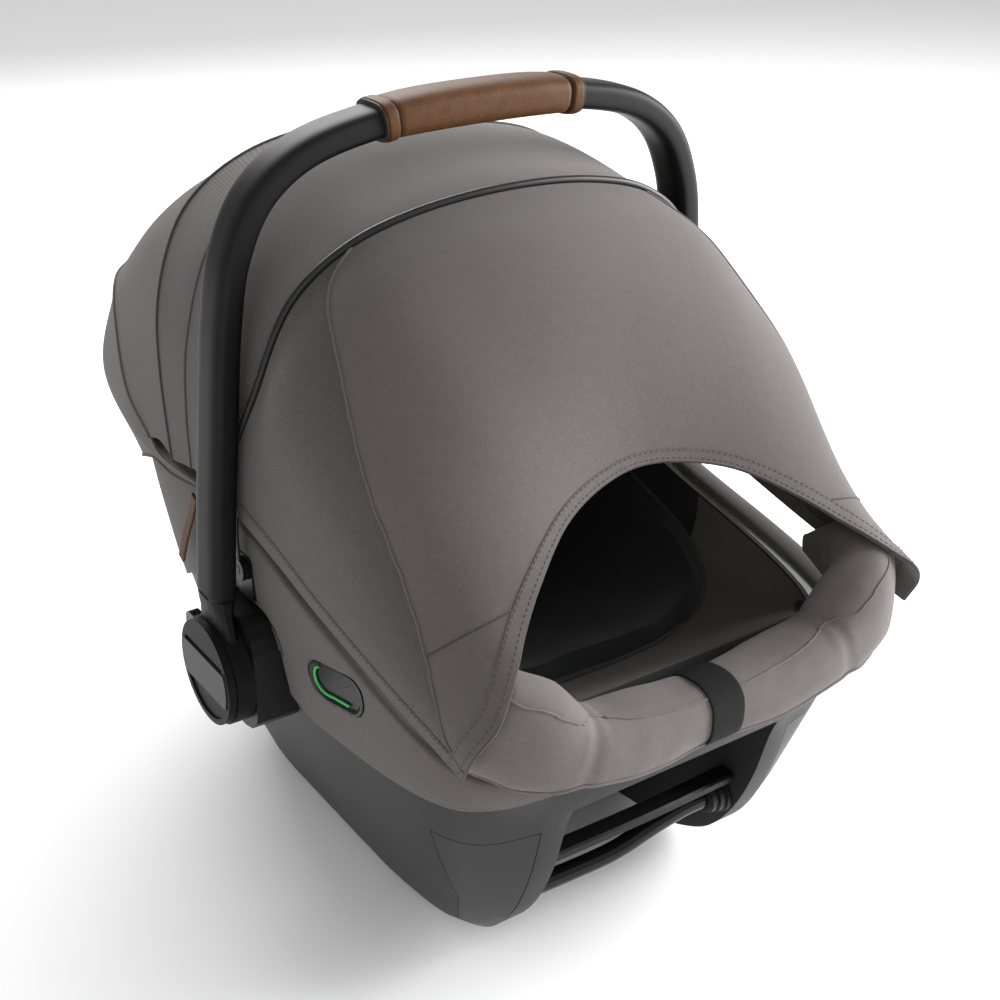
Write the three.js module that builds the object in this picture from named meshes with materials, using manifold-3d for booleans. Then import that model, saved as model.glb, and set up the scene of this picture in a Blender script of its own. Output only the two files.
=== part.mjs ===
// Infant car seat with an arched carry handle, a folding canopy and a drop-down drape.
// Millimetres, +Z up, -Y towards the child's feet, X across the seat.
// The seat rests on the flat of its two rocker runners, and the origin is below the middle of its box.

import * as THREE from 'three';
import { mergeVertices } from 'three/addons/utils/BufferGeometryUtils.js';
import Module from 'manifold-3d';

const wasm = await Module();
wasm.setup();

// ---------------------------------------------------------------- driving sizes

const GAP = 0.35;                 // running gap between two pieces that touch

const seat = {
  halfWidth: 178,                 // outside of the plastic shell at its rim
  footReach: 270,                 // hub axis plane to the foot end of the shell
  headReach: 343,                 // to the head end of the shell
  middle: 25,                     // the widest station
  footPower: 9,                   // how square the foot end is in plan
  headPower: 3,                   // how square the head end is in plan
  runnerShare: 0.68,              // half width at the runners over half width at the rim
  wall: 4,
};
const cover = { thickness: 3 };
const foam = { thickness: 16 };
const liner = { thickness: 4 };
const insert = { thickness: 20 };
const tunnel = { halfWidth: 88 };
const hub = { y: 6, z: 177, radius: 41, armThickness: 14, capThickness: 6, pinRadius: 6 };
const handle = { reach: 382, tubeDepth: 34, tubeWidth: 20, clearance: 7, lean: 16 };
const grip = { halfLength: 68, thickness: 3, ringLength: 8, ringProud: 1.8, ringGap: 1 };
const canopy = { clearance: 4.7, pivotY: 8, pivotZ: 250, skin: 2, bowWidth: 5, bowThickness: 2 };
const webbing = { width: 38, thickness: 1.8, loopWidth: 28 };
const lever = { width: 120, travel: 18 };
const springWire = 0.8;

// Outlines are drawn for these sizes, and acrossFit and alongFit stretch them to the seat's own.
const drawn = { halfWidth: 178, footReach: 270, headReach: 343, canopyHalf: 189, handleHalf: 206 };
const canopyHalf = seat.halfWidth + cover.thickness + GAP + canopy.clearance + 2.95;
const handleHalf = canopyHalf + handle.clearance + handle.tubeWidth / 2;
const acrossFit = (x, drawnHalf, realHalf) => x * realHalf / drawnHalf;
const alongFit = (y) => y * (y < 0 ? seat.footReach / drawn.footReach : seat.headReach / drawn.headReach);

// ---------------------------------------------------------------- finishes

const finish = (color, roughness, metalness = 0) => ({ color, roughness, metalness });
const plastic = finish(0x4a4a4b, 0.6);
const blackPlastic = finish(0x1a1a1b, 0.5);
const glossBlack = finish(0x0d0d0e, 0.2);
const handleCoat = finish(0x3a3a3b, 0.45);
const leather = finish(0x7a5236, 0.55);
const fabric = finish(0x7b7370, 0.9);
const mesh = finish(0x6a6462, 0.9);
const cushionCloth = finish(0x8f8583, 0.9);
const blackCloth = finish(0x1e1e20, 0.9);
const charcoal = finish(0x3a3d3c, 0.9);
const webCloth = finish(0x202022, 0.8);
const foamWhite = finish(0xc8c8c4, 0.9);
const steel = finish(0xb0b2b5, 0.35, 1);
const green = finish(0x3fc05a, 0.5);
const red = finish(0xb3241e, 0.4);

// ---------------------------------------------------------------- geometry helpers

const carSeat = new THREE.Group();

// A smooth line through (y, z) pairs, read as z at any y.
function profile(pairs) {
  const fitted = pairs.map(([y, z]) => [alongFit(y), z]);
  const last = fitted.length - 1;
  return (y) => {
    if (y <= fitted[0][0]) return fitted[0][1];
    if (y >= fitted[last][0]) return fitted[last][1];
    const i = fitted.findIndex(([right]) => right > y) - 1;
    const slope = (k) => {
      const a = fitted[Math.max(0, k - 1)];
      const b = fitted[Math.min(last, k + 1)];
      return (b[1] - a[1]) / (b[0] - a[0]);
    };
    const [y0, z0] = fitted[i];
    const [y1, z1] = fitted[i + 1];
    const h = y1 - y0;
    const t = (y - y0) / h;
    const t2 = t * t;
    const t3 = t2 * t;
    return (2 * t3 - 3 * t2 + 1) * z0 + (t3 - 2 * t2 + t) * h * slope(i)
      + (3 * t2 - 2 * t3) * z1 + (t3 - t2) * h * slope(i + 1);
  };
}

function signedVolume(geometry) {
  const position = geometry.attributes.position;
  const index = geometry.index.array;
  const a = new THREE.Vector3();
  const b = new THREE.Vector3();
  const c = new THREE.Vector3();
  let total = 0;
  for (let i = 0; i < index.length; i += 3) {
    a.fromBufferAttribute(position, index[i]);
    b.fromBufferAttribute(position, index[i + 1]);
    c.fromBufferAttribute(position, index[i + 2]);
    total += a.dot(b.cross(c)) / 6;
  }
  return total;
}

// Merges shared corners and turns every face outwards.
function closed(geometry) {
  const bare = geometry.clone();
  bare.deleteAttribute('normal');
  bare.deleteAttribute('uv');
  const merged = mergeVertices(bare, 1e-3);
  const index = [];
  const source = merged.index.array;
  for (let i = 0; i < source.length; i += 3) {
    const [a, b, c] = [source[i], source[i + 1], source[i + 2]];
    if (a !== b && b !== c && a !== c) index.push(a, b, c);
  }
  merged.setIndex(index);
  if (signedVolume(merged) < 0) {
    for (let i = 0; i < index.length; i += 3) {
      [index[i + 1], index[i + 2]] = [index[i + 2], index[i + 1]];
    }
    merged.setIndex(index);
  }
  return merged;
}

function toSolid(geometry) {
  const merged = closed(geometry);
  return new wasm.Manifold(new wasm.Mesh({
    numProp: 3,
    vertProperties: Float32Array.from(merged.attributes.position.array),
    triVerts: Uint32Array.from(merged.index.array),
  }));
}

function toGeometry(solid) {
  const result = solid.getMesh();
  const geometry = new THREE.BufferGeometry();
  geometry.setAttribute('position', new THREE.BufferAttribute(result.vertProperties, 3));
  geometry.setIndex(new THREE.BufferAttribute(result.triVerts, 1));
  return geometry;
}

const cut = (first, ...others) => others.reduce((left, other) => left.subtract(other), first);
const join = (first, ...others) => others.reduce((left, other) => left.add(other), first);

// Adds one named piece. A solid or a geometry is taken.
function piece(name, shape, look, parent = carSeat) {
  const geometry = shape.isBufferGeometry ? closed(shape) : toGeometry(shape);
  const material = new THREE.MeshStandardMaterial(look);
  const item = new THREE.Mesh(geometry, material);
  item.name = name;
  parent.add(item);
  return item;
}

// A closed body from rings of equal count, with a fan over each end ring.
function skin(rings) {
  const count = rings[0].length;
  const points = rings.flat();
  const index = [];
  for (let r = 0; r + 1 < rings.length; r += 1) {
    for (let k = 0; k < count; k += 1) {
      const a = r * count + k;
      const b = r * count + (k + 1) % count;
      index.push(a, b, a + count, b, b + count, a + count);
    }
  }
  const middleOf = (ring) => ring.reduce((sum, p) => sum.add(p), new THREE.Vector3()).divideScalar(count);
  const start = points.push(middleOf(rings[0])) - 1;
  const end = points.push(middleOf(rings[rings.length - 1])) - 1;
  const lastRow = (rings.length - 1) * count;
  for (let k = 0; k < count; k += 1) {
    const next = (k + 1) % count;
    index.push(start, next, k, end, lastRow + k, lastRow + next);
  }
  const geometry = new THREE.BufferGeometry().setFromPoints(points);
  geometry.setIndex(index);
  return geometry;
}

// A section swept along points: section(t) gives [across, rise] pairs, and across stays near the given vector.
function sweep(points, section, across, steps) {
  const path = new THREE.CatmullRomCurve3(points, false, 'centripetal');
  const rings = [];
  for (let i = 0; i <= steps; i += 1) {
    const t = i / steps;
    const here = path.getPointAt(t);
    const along = path.getTangentAt(t);
    const wide = across.clone().addScaledVector(along, -across.dot(along)).normalize();
    const rise = new THREE.Vector3().crossVectors(wide, along);
    rings.push(section(t).map(([w, r]) => here.clone().addScaledVector(wide, w).addScaledVector(rise, r)));
  }
  return skin(rings);
}

// A rounded section: power 2 is an ellipse, and higher is squarer.
function oval(width, height, sides, power = 2) {
  return Array.from({ length: sides }, (_, k) => {
    const angle = (k + 0.5) / sides * 2 * Math.PI;
    const c = Math.cos(angle);
    const s = Math.sin(angle);
    return [
      Math.sign(c) * width / 2 * Math.abs(c) ** (2 / power),
      Math.sign(s) * height / 2 * Math.abs(s) ** (2 / power),
    ];
  });
}

const vec = (x, y, z) => new THREE.Vector3(x, y, z);
const X = vec(1, 0, 0);
const Y = vec(0, 1, 0);
const Z = vec(0, 0, 1);

function block(x0, x1, y0, y1, z0, z1) {
  const box = new THREE.BoxGeometry(x1 - x0, y1 - y0, z1 - z0);
  return toSolid(box.translate((x0 + x1) / 2, (y0 + y1) / 2, (z0 + z1) / 2));
}

// A round bar along X between two stations.
function barX(x0, x1, radius, y, z, sides = 24) {
  const bar = new THREE.CylinderGeometry(radius, radius, Math.abs(x1 - x0), sides);
  return toSolid(bar.rotateZ(Math.PI / 2).translate((x0 + x1) / 2, y, z));
}

// A flat outline in the YZ plane, extruded along X from x0 to x1.
function plateX(outline, x0, x1) {
  const shape = new THREE.Shape(outline.map(([y, z]) => new THREE.Vector2(y, z)));
  const plate = new THREE.ExtrudeGeometry(shape, { depth: x1 - x0, bevelEnabled: false });
  plate.applyMatrix4(new THREE.Matrix4().makeBasis(Y, Z, X).setPosition(x0, 0, 0));
  return toSolid(plate);
}

// A rectangle in the YZ plane with round corners.
function roundedRect(y0, y1, z0, z1, radius, steps = 3) {
  const corners = [[y1, z1, 0], [y0, z1, 1], [y0, z0, 2], [y1, z0, 3]];
  return corners.flatMap(([y, z, quarter]) => {
    const cy = y + (y === y1 ? -radius : radius);
    const cz = z + (z === z1 ? -radius : radius);
    return Array.from({ length: steps + 1 }, (_, k) => {
      const angle = (quarter + k / steps) * Math.PI / 2;
      return [cy + radius * Math.cos(angle), cz + radius * Math.sin(angle)];
    });
  });
}

const mirrored = (solid) => solid.scale([-1, 1, 1]);
const onSide = (solid, side) => (side > 0 ? solid : mirrored(solid));
const sides = [['left', -1], ['right', 1]];

// ---------------------------------------------------------------- shell

const rimHeight = profile([
  [-270, 214], [-230, 226], [-150, 244], [-60, 262], [0, 279], [80, 287], [150, 292],
  [200, 325], [250, 360], [300, 371], [343, 374],
]);
const keelLine = profile([
  [-270, 200], [-262, 175], [-252, 151], [-240, 110], [-222, 70], [-200, 40], [-180, 25], [-150, 12],
  [-100, 3], [-62, 0], [80, 0], [120, 6], [180, 36], [230, 76], [280, 125], [315, 185], [335, 260], [343, 330],
]);
const keelHeight = (y) => Math.max(0, keelLine(y));
const bucketFloor = profile([
  [-262, 208], [-245, 195], [-200, 170], [-100, 134], [0, 116], [80, 118], [160, 152], [230, 212],
  [290, 288], [325, 345], [338, 366],
]);

const high = 60;                          // clear height that opens a bowl above its rim
const reachOf = (share, grow) => share * ((share < 0
  ? seat.footReach + seat.middle
  : seat.headReach - seat.middle) + grow);
const planWidth = (share, grow) => {
  const power = share < 0 ? seat.footPower : seat.headPower;
  return (seat.halfWidth + grow) * (1 - Math.abs(share) ** power) ** (1 / power);
};

// Rings of the outer hull, grown outwards or shrunk by a wall, and filled up to a height above the rim.
function hull(grow, lift) {
  const stations = 22;
  const rings = [];
  for (let i = 0; i <= stations; i += 1) {
    const share = 0.985 * Math.sin((i / stations - 0.5) * Math.PI);
    const y = seat.middle + reachOf(share, grow);
    const drawnY = seat.middle + reachOf(share, 0);
    const top = rimHeight(drawnY);
    const bottom = Math.min(keelHeight(drawnY) - grow, top - 6);
    const wide = planWidth(share, grow);
    const low = wide * seat.runnerShare;
    const half = [[low - 12, bottom], [low - 3, bottom + 3], [low, bottom + 11]];
    for (const s of [0.12, 0.28, 0.48, 0.72, 1]) {
      half.push([low + (wide - low) * (1 - (1 - s) ** 2), bottom + 11 + (top - bottom - 11) * s]);
    }
    half.push([wide, top + lift]);
    rings.push([
      ...half.map(([x, z]) => vec(x, y, z)),
      ...half.reverse().map(([x, z]) => vec(-x, y, z)),
    ]);
  }
  return toSolid(skin(rings));
}

// Rings of the bucket that holds the child, shrunk by each layer that lines it, and open far above the rim.
function bucket(shrink) {
  const stations = 18;
  const rings = [];
  for (let i = 0; i <= stations; i += 1) {
    const share = 0.975 * Math.sin((i / stations - 0.5) * Math.PI);
    const y = seat.middle + reachOf(share, -shrink);
    const drawnY = seat.middle + reachOf(share, 0);
    const top = rimHeight(drawnY);
    const bottom = Math.min(bucketFloor(drawnY) + shrink, top - 1);
    const wide = planWidth(share, -shrink);
    const half = [];
    for (const angle of [12, 32, 52, 70, 90]) {
      const a = THREE.MathUtils.degToRad(angle);
      half.push([wide * Math.sin(a) ** 0.7, top - (top - bottom) * Math.cos(a) ** 0.8]);
    }
    half.push([wide, top + high]);
    rings.push([
      ...half.map(([x, z]) => vec(x, y, z)),
      ...half.reverse().map(([x, z]) => vec(-x, y, z)),
    ]);
  }
  return toSolid(skin(rings));
}

const inShell = seat.wall + GAP;
const inFoam = inShell + foam.thickness;
const inLiner = inFoam + GAP + liner.thickness;

const hullOutside = hull(0, 0);
const hullClear = hull(GAP, 2);
const hullInside = hull(-seat.wall, high);
const outerReach = seat.halfWidth + 100;
const farFoot = -seat.footReach - 100;
const farHead = seat.headReach + 100;

// The tunnel between the two legs, open to the foot end and through to the back of the runners.
const tunnelOutline = (grow) => [
  [farFoot, -20], [alongFit(140) + grow, -20], [alongFit(140) + grow, 26 + grow], [alongFit(108), 60 + grow],
  [alongFit(-120), 88 + grow], [alongFit(-205), 138 + grow], [alongFit(-250), 166 + grow], [farFoot, 170 + grow],
];
const tunnelCut = plateX(tunnelOutline(0), -tunnel.halfWidth, tunnel.halfWidth);
const tunnelWalls = plateX(
  tunnelOutline(seat.wall),
  -tunnel.halfWidth - seat.wall,
  tunnel.halfWidth + seat.wall,
);

// The corner covers of the legs: an outline seen from the side, taken from the hull's own wall.
const legPanel = { thickness: 2.4, fromX: 127 };
const panelOutline = [
  [farFoot, 151], [farFoot, 20], [alongFit(-166), 20], [alongFit(-196), 74], [alongFit(-208), 151],
];
const panelZone = (grow) => {
  const zone = plateX(panelOutline.map(([y, z], k) => [
    y + (k > 1 ? grow : 0),
    z + (k === 0 || k === 4 ? grow : 0),
  ]), acrossFit(legPanel.fromX - 20, drawn.halfWidth, seat.halfWidth) - grow, outerReach);
  return zone;
};
const legCorner = cut(hull(0, 0), hull(-legPanel.thickness, high));
const legSocket = hull(-legPanel.thickness - GAP, high);

const hubBoss = { back: -38, front: 40, low: -44, high: 46 };
const hubX = handleHalf - hub.armThickness / 2 - 0.5;      // inner face of the handle's arm
const armFace = hubX + hub.armThickness;
const capFace = armFace + GAP + hub.capThickness;

let shell = cut(hullOutside, cut(hullInside, tunnelWalls), tunnelCut);
for (const [, side] of sides) {
  const pocket = cut(onSide(panelZone(GAP), side), legSocket);
  shell = shell.subtract(pocket);
}

// ---------------------------------------------------------------- inner bucket, liner, cover

// Everything above a line that follows the rim at some height over it.
function aboveRim(lift) {
  const line = Array.from({ length: 33 }, (_, k) => {
    const y = farFoot + (farHead - farFoot) * k / 32;
    return [y, rimHeight(y) + lift];
  });
  return plateX([...line, [farHead, 700], [farFoot, 700]], -outerReach, outerReach);
}
const linerOutside = bucket(inFoam + GAP);
const foamBowl = cut(
  bucket(inShell),
  bucket(inFoam),
  linerOutside,
  aboveRim(-2),
  hull(2, 2).subtract(hullInside),
);
const linerBowl = cut(linerOutside, bucket(inLiner), aboveRim(3));

const coverEdge = profile([
  [-290, 196], [-230, 190], [-160, 176], [-90, 163], [-45, 160], [0, 176], [60, 200], [120, 190],
  [200, 150], [280, 150], [343, 172],
]);
const coverLow = [];
for (let k = 0; k <= 16; k += 1) {
  const y = farFoot + (farHead - farFoot) * k / 16;
  coverLow.push([y, coverEdge(y)]);
}
const belowCover = plateX([...coverLow, [farHead, -50], [farFoot, -50]], -outerReach, outerReach);
const coverOutside = hull(GAP + cover.thickness, GAP + cover.thickness);
let seatCover = cut(
  coverOutside,
  hull(GAP, GAP),
  bucket(inFoam - 0.2),
  belowCover,
);

// ---------------------------------------------------------------- foot cushion

const cushionPath = [
  [-164, -196, 256], [-162, -240, 262], [-146, -268, 258], [-108, -277, 235], [-50, -278, 226], [0, -278, 225],
];
const cushionHigh = [26, 37, 35, 24, 24, 24];
const wholePath = [
  ...cushionPath,
  ...cushionPath.slice(0, -1).reverse().map(([x, y, z]) => [-x, y, z]),
].map(([x, y, z]) => vec(acrossFit(x, drawn.halfWidth, seat.halfWidth), alongFit(y), z));
const cushionDepth = 48;
const cushionSection = (t) => {
  const place = (1 - Math.abs(2 * t - 1)) * (cushionHigh.length - 1);
  const k = Math.min(Math.floor(place), cushionHigh.length - 2);
  const halfHigh = cushionHigh[k] + (cushionHigh[k + 1] - cushionHigh[k]) * (place - k);
  const slim = 0.55 + 0.45 * Math.min(1, place);
  return oval(halfHigh * 2, cushionDepth * slim, 14, 2.8);
};
const coverTop = GAP + cover.thickness + GAP;
const footRoll = cut(toSolid(sweep(wholePath, cushionSection, Z, 36)), hull(coverTop, coverTop));

// ---------------------------------------------------------------- child's insert and head pad

const inInsert = inLiner + GAP + insert.thickness;
const insertEnds = join(
  block(-outerReach, outerReach, farFoot, alongFit(-165), 0, 600),
  block(-outerReach, outerReach, alongFit(296), farHead, 0, 600),
);
const infantInsert = cut(bucket(inLiner + GAP), bucket(inInsert), aboveRim(-30), insertEnds);
const headPadThickness = 22;
const headEnds = join(
  block(-outerReach, outerReach, farFoot, alongFit(128), 0, 600),
  block(-outerReach, outerReach, alongFit(281), farHead, 0, 600),
);
const headPad = cut(
  bucket(inInsert + GAP),
  bucket(inInsert + GAP + headPadThickness),
  aboveRim(-22),
  headEnds,
);

// ---------------------------------------------------------------- harness

const padTop = (y) => bucketFloor(y) + inInsert + 6;
const strapPath = (x, ys, lift) => ys.map((y) => vec(x, alongFit(y), padTop(alongFit(y)) + lift));
const strap = (points, thickness, width) => sweep(points, () => oval(width, thickness, 8, 8), X, 14);
const shoulderStations = [122, 86, 48, 8];
const padLift = 17;
const buckle = { y: -22, width: 52, length: 44, height: 20, button: 24, travel: 3 };
const buckleLow = padTop(alongFit(0)) + 6;
const buckleMiddle = alongFit(buckle.y);
const buckleCase = (grow) => plateX(
  roundedRect(
    buckleMiddle - buckle.length / 2 - grow,
    buckleMiddle + buckle.length / 2 + grow,
    buckleLow - grow,
    buckleLow + buckle.height + grow,
    6,
  ),
  -buckle.width / 2 - grow,
  buckle.width / 2 + grow,
);
const buttonWell = (grow, low, top) => block(
  -buckle.button / 2 - grow,
  buckle.button / 2 + grow,
  buckleMiddle - buckle.button / 2 - grow,
  buckleMiddle + buckle.button / 2 + grow,
  buckleLow + low,
  buckleLow + top,
);

// The front webbing loop goes over the foot cushion's middle.
const loopLine = [
  [-234, 254], [-250, 257], [-276, 258], [-296, 254], [-306, 242], [-308, 226], [-306, 208], [-297, 197], [-284, 193],
];
const loopPath = loopLine.map(([y, z]) => vec(0, alongFit(y), z));
const footLoop = sweep(loopPath, () => oval(webbing.loopWidth, webbing.thickness, 8, 8), X, 26);

// ---------------------------------------------------------------- hubs and handle

const hubAt = (up) => hub.z + up;
const boss = (grow) => plateX(
  roundedRect(
    hub.y + hubBoss.back - grow,
    hub.y + hubBoss.front + grow,
    hub.z + hubBoss.low - grow,
    hub.z + hubBoss.high + grow,
    22,
  ),
  seat.halfWidth - 50,
  hubX - 0.8,
);
const gear = { radius: 24, teeth: 12, tooth: 3, width: 6, travel: 3.5 };
const wellDepth = 13;
const housing = cut(
  boss(0),
  hullClear,
  barX(hubX - 0.8 - wellDepth, hubX, gear.radius + 2, hub.y, hub.z, 28),
  barX(hubX - wellDepth - 6, hubX, hub.pinRadius + GAP, hub.y, hub.z, 20),
);
const pin = barX(hubX - wellDepth - 5.5, armFace - 1.5, hub.pinRadius, hub.y, hub.z, 20);

function gearOutline() {
  const outline = [];
  for (let k = 0; k < gear.teeth; k += 1) {
    for (const [turn, radius] of [[0, -1], [0.3, -1], [0.42, 0], [0.88, 0]]) {
      const angle = (k + turn) / gear.teeth * 2 * Math.PI;
      const r = gear.radius + radius * gear.tooth;
      outline.push([hub.y + r * Math.cos(angle), hub.z + r * Math.sin(angle)]);
    }
  }
  return outline;
}
const gearX = hubX - 2.3 - gear.width;
const lockGear = cut(
  plateX(gearOutline(), gearX, gearX + gear.width),
  barX(gearX - 1, gearX + gear.width + 1, hub.pinRadius + 1, hub.y, hub.z, 20),
);
const springTurns = 2.5;
const springStart = hubX - 0.8 - wellDepth + springWire + GAP;
const springEnd = gearX - springWire - GAP;
const springPoints = Array.from({ length: 26 }, (_, k) => {
  const t = k / 25;
  const angle = t * springTurns * 2 * Math.PI;
  const radius = hub.pinRadius + 4;
  return vec(
    springStart + (springEnd - springStart) * t,
    hub.y + radius * Math.cos(angle),
    hub.z + radius * Math.sin(angle),
  );
});
const gearSpring = sweep(springPoints, () => oval(springWire * 1.6, springWire * 1.6, 6), X, 30);

const archDrawnReach = 382;
const armTop = 64;
const archOutline = [
  [206, 64], [204.5, 90], [202.5, 125], [199, 170], [195.5, 215], [191, 262], [183, 305], [165, 341], [135, 364],
  [80, 378], [0, 382],
];
const rise = (up) => armTop + (up - armTop) * (handle.reach - armTop) / (archDrawnReach - armTop);
const leanAt = (up) => hub.y - (handle.lean + hub.y) * up / handle.reach;
const archHalf = archOutline.map(([x, up]) => vec(
  -acrossFit(x, drawn.handleHalf, handleHalf),
  leanAt(rise(up)),
  hubAt(rise(up)),
));
const archPath = [...archHalf, ...archHalf.slice(0, -1).reverse().map((p) => vec(-p.x, p.y, p.z))];
const tubeSection = () => oval(handle.tubeDepth, handle.tubeWidth, 14, 2.4);
const archCurve = new THREE.CatmullRomCurve3(archPath, false, 'centripetal');
const handleTube = sweep(archPath, tubeSection, Y, 46);

// A sleeve round the middle of the arch, between two distances from its crown.
function sleeve(from, to, proud, steps) {
  const length = archCurve.getLength();
  const points = (extra) => Array.from({ length: steps + 1 }, (_, k) => {
    const along = from - extra + (to - from + 2 * extra) * k / steps;
    return archCurve.getPointAt(0.5 + along / length);
  });
  const outer = sweep(
    points(0),
    () => oval(handle.tubeDepth + 2 * proud, handle.tubeWidth + 2 * proud, 18, 2.3),
    Y,
    steps,
  );
  const bore = sweep(
    points(4),
    () => oval(handle.tubeDepth + 2 * GAP + 0.8, handle.tubeWidth + 2 * GAP + 0.8, 18, 2.3),
    Y,
    steps + 2,
  );
  return cut(toSolid(outer), toSolid(bore));
}

const tubeFoot = vec(-archPath[0].x, archPath[0].y, archPath[0].z);
const tubeRise = vec(-archPath[1].x, archPath[1].y, archPath[1].z).sub(tubeFoot).normalize();
const armMiddle = hubX + hub.armThickness / 2;
const armPath = [
  vec(armMiddle, leanAt(0), hubAt(0)),
  vec(armMiddle, leanAt(34), hubAt(34)),
  tubeFoot.clone().addScaledVector(tubeRise, -12),
  tubeFoot.clone().addScaledVector(tubeRise, -GAP),
];
const armSection = (t) => oval(
  THREE.MathUtils.lerp(74, handle.tubeDepth + 1.4, t ** 0.6),
  THREE.MathUtils.lerp(hub.armThickness - 0.2, handle.tubeWidth + 1.4, Math.max(0, 4 * t - 3)),
  16,
  2.6,
);
const button = { reach: 9, low: -6, high: 26, travel: 4, inset: 3 };
const buttonZone = (grow, innerY, outerY) => block(
  hubX + button.inset - grow,
  armFace - button.inset + grow,
  innerY,
  outerY,
  hub.z + button.low - grow,
  hub.z + button.high + grow,
);
const wellBack = hub.y + hub.radius - 13 - button.travel;
const handleArm = cut(
  join(barX(hubX, armFace, hub.radius, hub.y, hub.z, 40), toSolid(sweep(armPath, armSection, Y, 8))),
  barX(hubX - 1, armFace + 1, hub.pinRadius + GAP, hub.y, hub.z, 20),
  buttonZone(GAP + 0.1, wellBack, hub.y + hub.radius + 20),
);
const buttonNose = plateX(
  roundedRect(
    wellBack + button.travel + GAP,
    hub.y + hub.radius + button.reach,
    hub.z + button.low,
    hub.z + button.high,
    7,
  ),
  hubX + button.inset,
  armFace - button.inset,
);
const badge = { half: 14, inset: 3, proud: 1, radius: hub.radius - 5 };
const capBlank = barX(armFace + GAP, capFace, hub.radius - 1.5, hub.y, hub.z, 40);
const bandZone = (grow, x0, x1) => barX(x0, x1, badge.radius + grow, hub.y, hub.z, 36)
  .intersect(block(x0, x1, hub.y - 60, hub.y + 60, hub.z - badge.half - grow, hub.z + badge.half + grow));
const slit = block(capFace - 2.4, capFace + 1, hub.y - 30, hub.y + 30, hub.z + badge.half, hub.z + badge.half + 3.4);
const crescent = barX(capFace - 1.6, capFace + 1, badge.radius - 1, hub.y, hub.z, 36)
  .intersect(block(0, 400, hub.y - 60, hub.y + 60, hub.z - 60, hub.z - badge.half - 2.2));
const hubCap = cut(capBlank, bandZone(GAP, capFace - badge.inset - GAP, capFace + 2), slit, crescent);
const hubBadge = bandZone(0, capFace - badge.inset, capFace + badge.proud);
seatCover = cut(seatCover, boss(GAP), mirrored(boss(GAP)));

// ---------------------------------------------------------------- canopy curves

const columns = 24;

// A curve through points from the left foot to the middle, mirrored to the right.
function arch(points) {
  const half = points.map(([x, y, z]) => vec(acrossFit(x, drawn.canopyHalf, canopyHalf), alongFit(y), z));
  const whole = [...half, ...half.slice(0, -1).reverse().map((p) => vec(-p.x, p.y, p.z))];
  return new THREE.CatmullRomCurve3(whole, false, 'centripetal').getSpacedPoints(columns);
}

const frontCurve = arch([
  [-188.5, 10, 300], [-186, 0, 340], [-178, -26, 392], [-157, -47, 458], [-120, -54, 488], [-70, -57, 503], [0, -59, 509],
]);
const midCurve = arch([
  [-187, 107, 298], [-186.5, 112, 330], [-185, 118, 365], [-180.5, 124, 405], [-169.5, 129, 440], [-152, 134, 470],
  [-129, 137, 490], [-98, 139, 505], [-61, 140, 514], [0, 141, 518],
]);
const backCurve = arch([
  [-187, 150, 300], [-184, 195, 322], [-175, 228, 362], [-162, 258, 384], [-138, 296, 388], [-90, 332, 386], [0, 345, 384],
]);
const bulgeCurve = arch([
  [-187.3, 135, 292], [-184, 200, 296], [-174, 262, 303], [-163, 302, 306], [-140, 328, 306], [-90, 342, 304], [0, 346, 303],
]);
const skirtCurve = arch([
  [-187.5, 44, 296], [-187.3, 76, 289], [-186.5, 114, 283], [-184, 150, 281], [-173, 199, 262], [-152, 258, 235],
  [-110, 306, 216], [0, 335, 207],
]);
const backBulge = arch([
  [-187.3, 128, 305], [-185, 152, 340], [-177, 176, 390], [-158, 196, 436], [-120, 222, 455], [-60, 244, 462], [0, 250, 464],
]);
const topBulge = arch([
  [-187, 62, 305], [-187, 58, 350], [-182, 52, 405], [-160, 44, 470], [-110, 44, 508], [-60, 44, 522], [0, 44, 527],
]);
const drapeHigh = arch([
  [-187, -58, 285], [-188, -64, 340], [-183, -74, 400], [-164, -88, 440], [-130, -100, 468], [-75, -108, 484], [0, -112, 490],
]);
const drapeLow = arch([
  [-186, -140, 266], [-187, -150, 300], [-182, -160, 350], [-164, -172, 384], [-120, -178, 410], [-60, -176, 424], [0, -174, 428],
]);
const hemCurve = arch([
  [-183, -276, 241], [-181, -287, 262], [-169, -292, 279], [-158, -286, 288], [-142, -273, 301], [-127, -259, 312],
  [-107, -244, 327], [-70, -221, 349], [-35, -208, 359], [0, -203, 363],
]);

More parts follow.
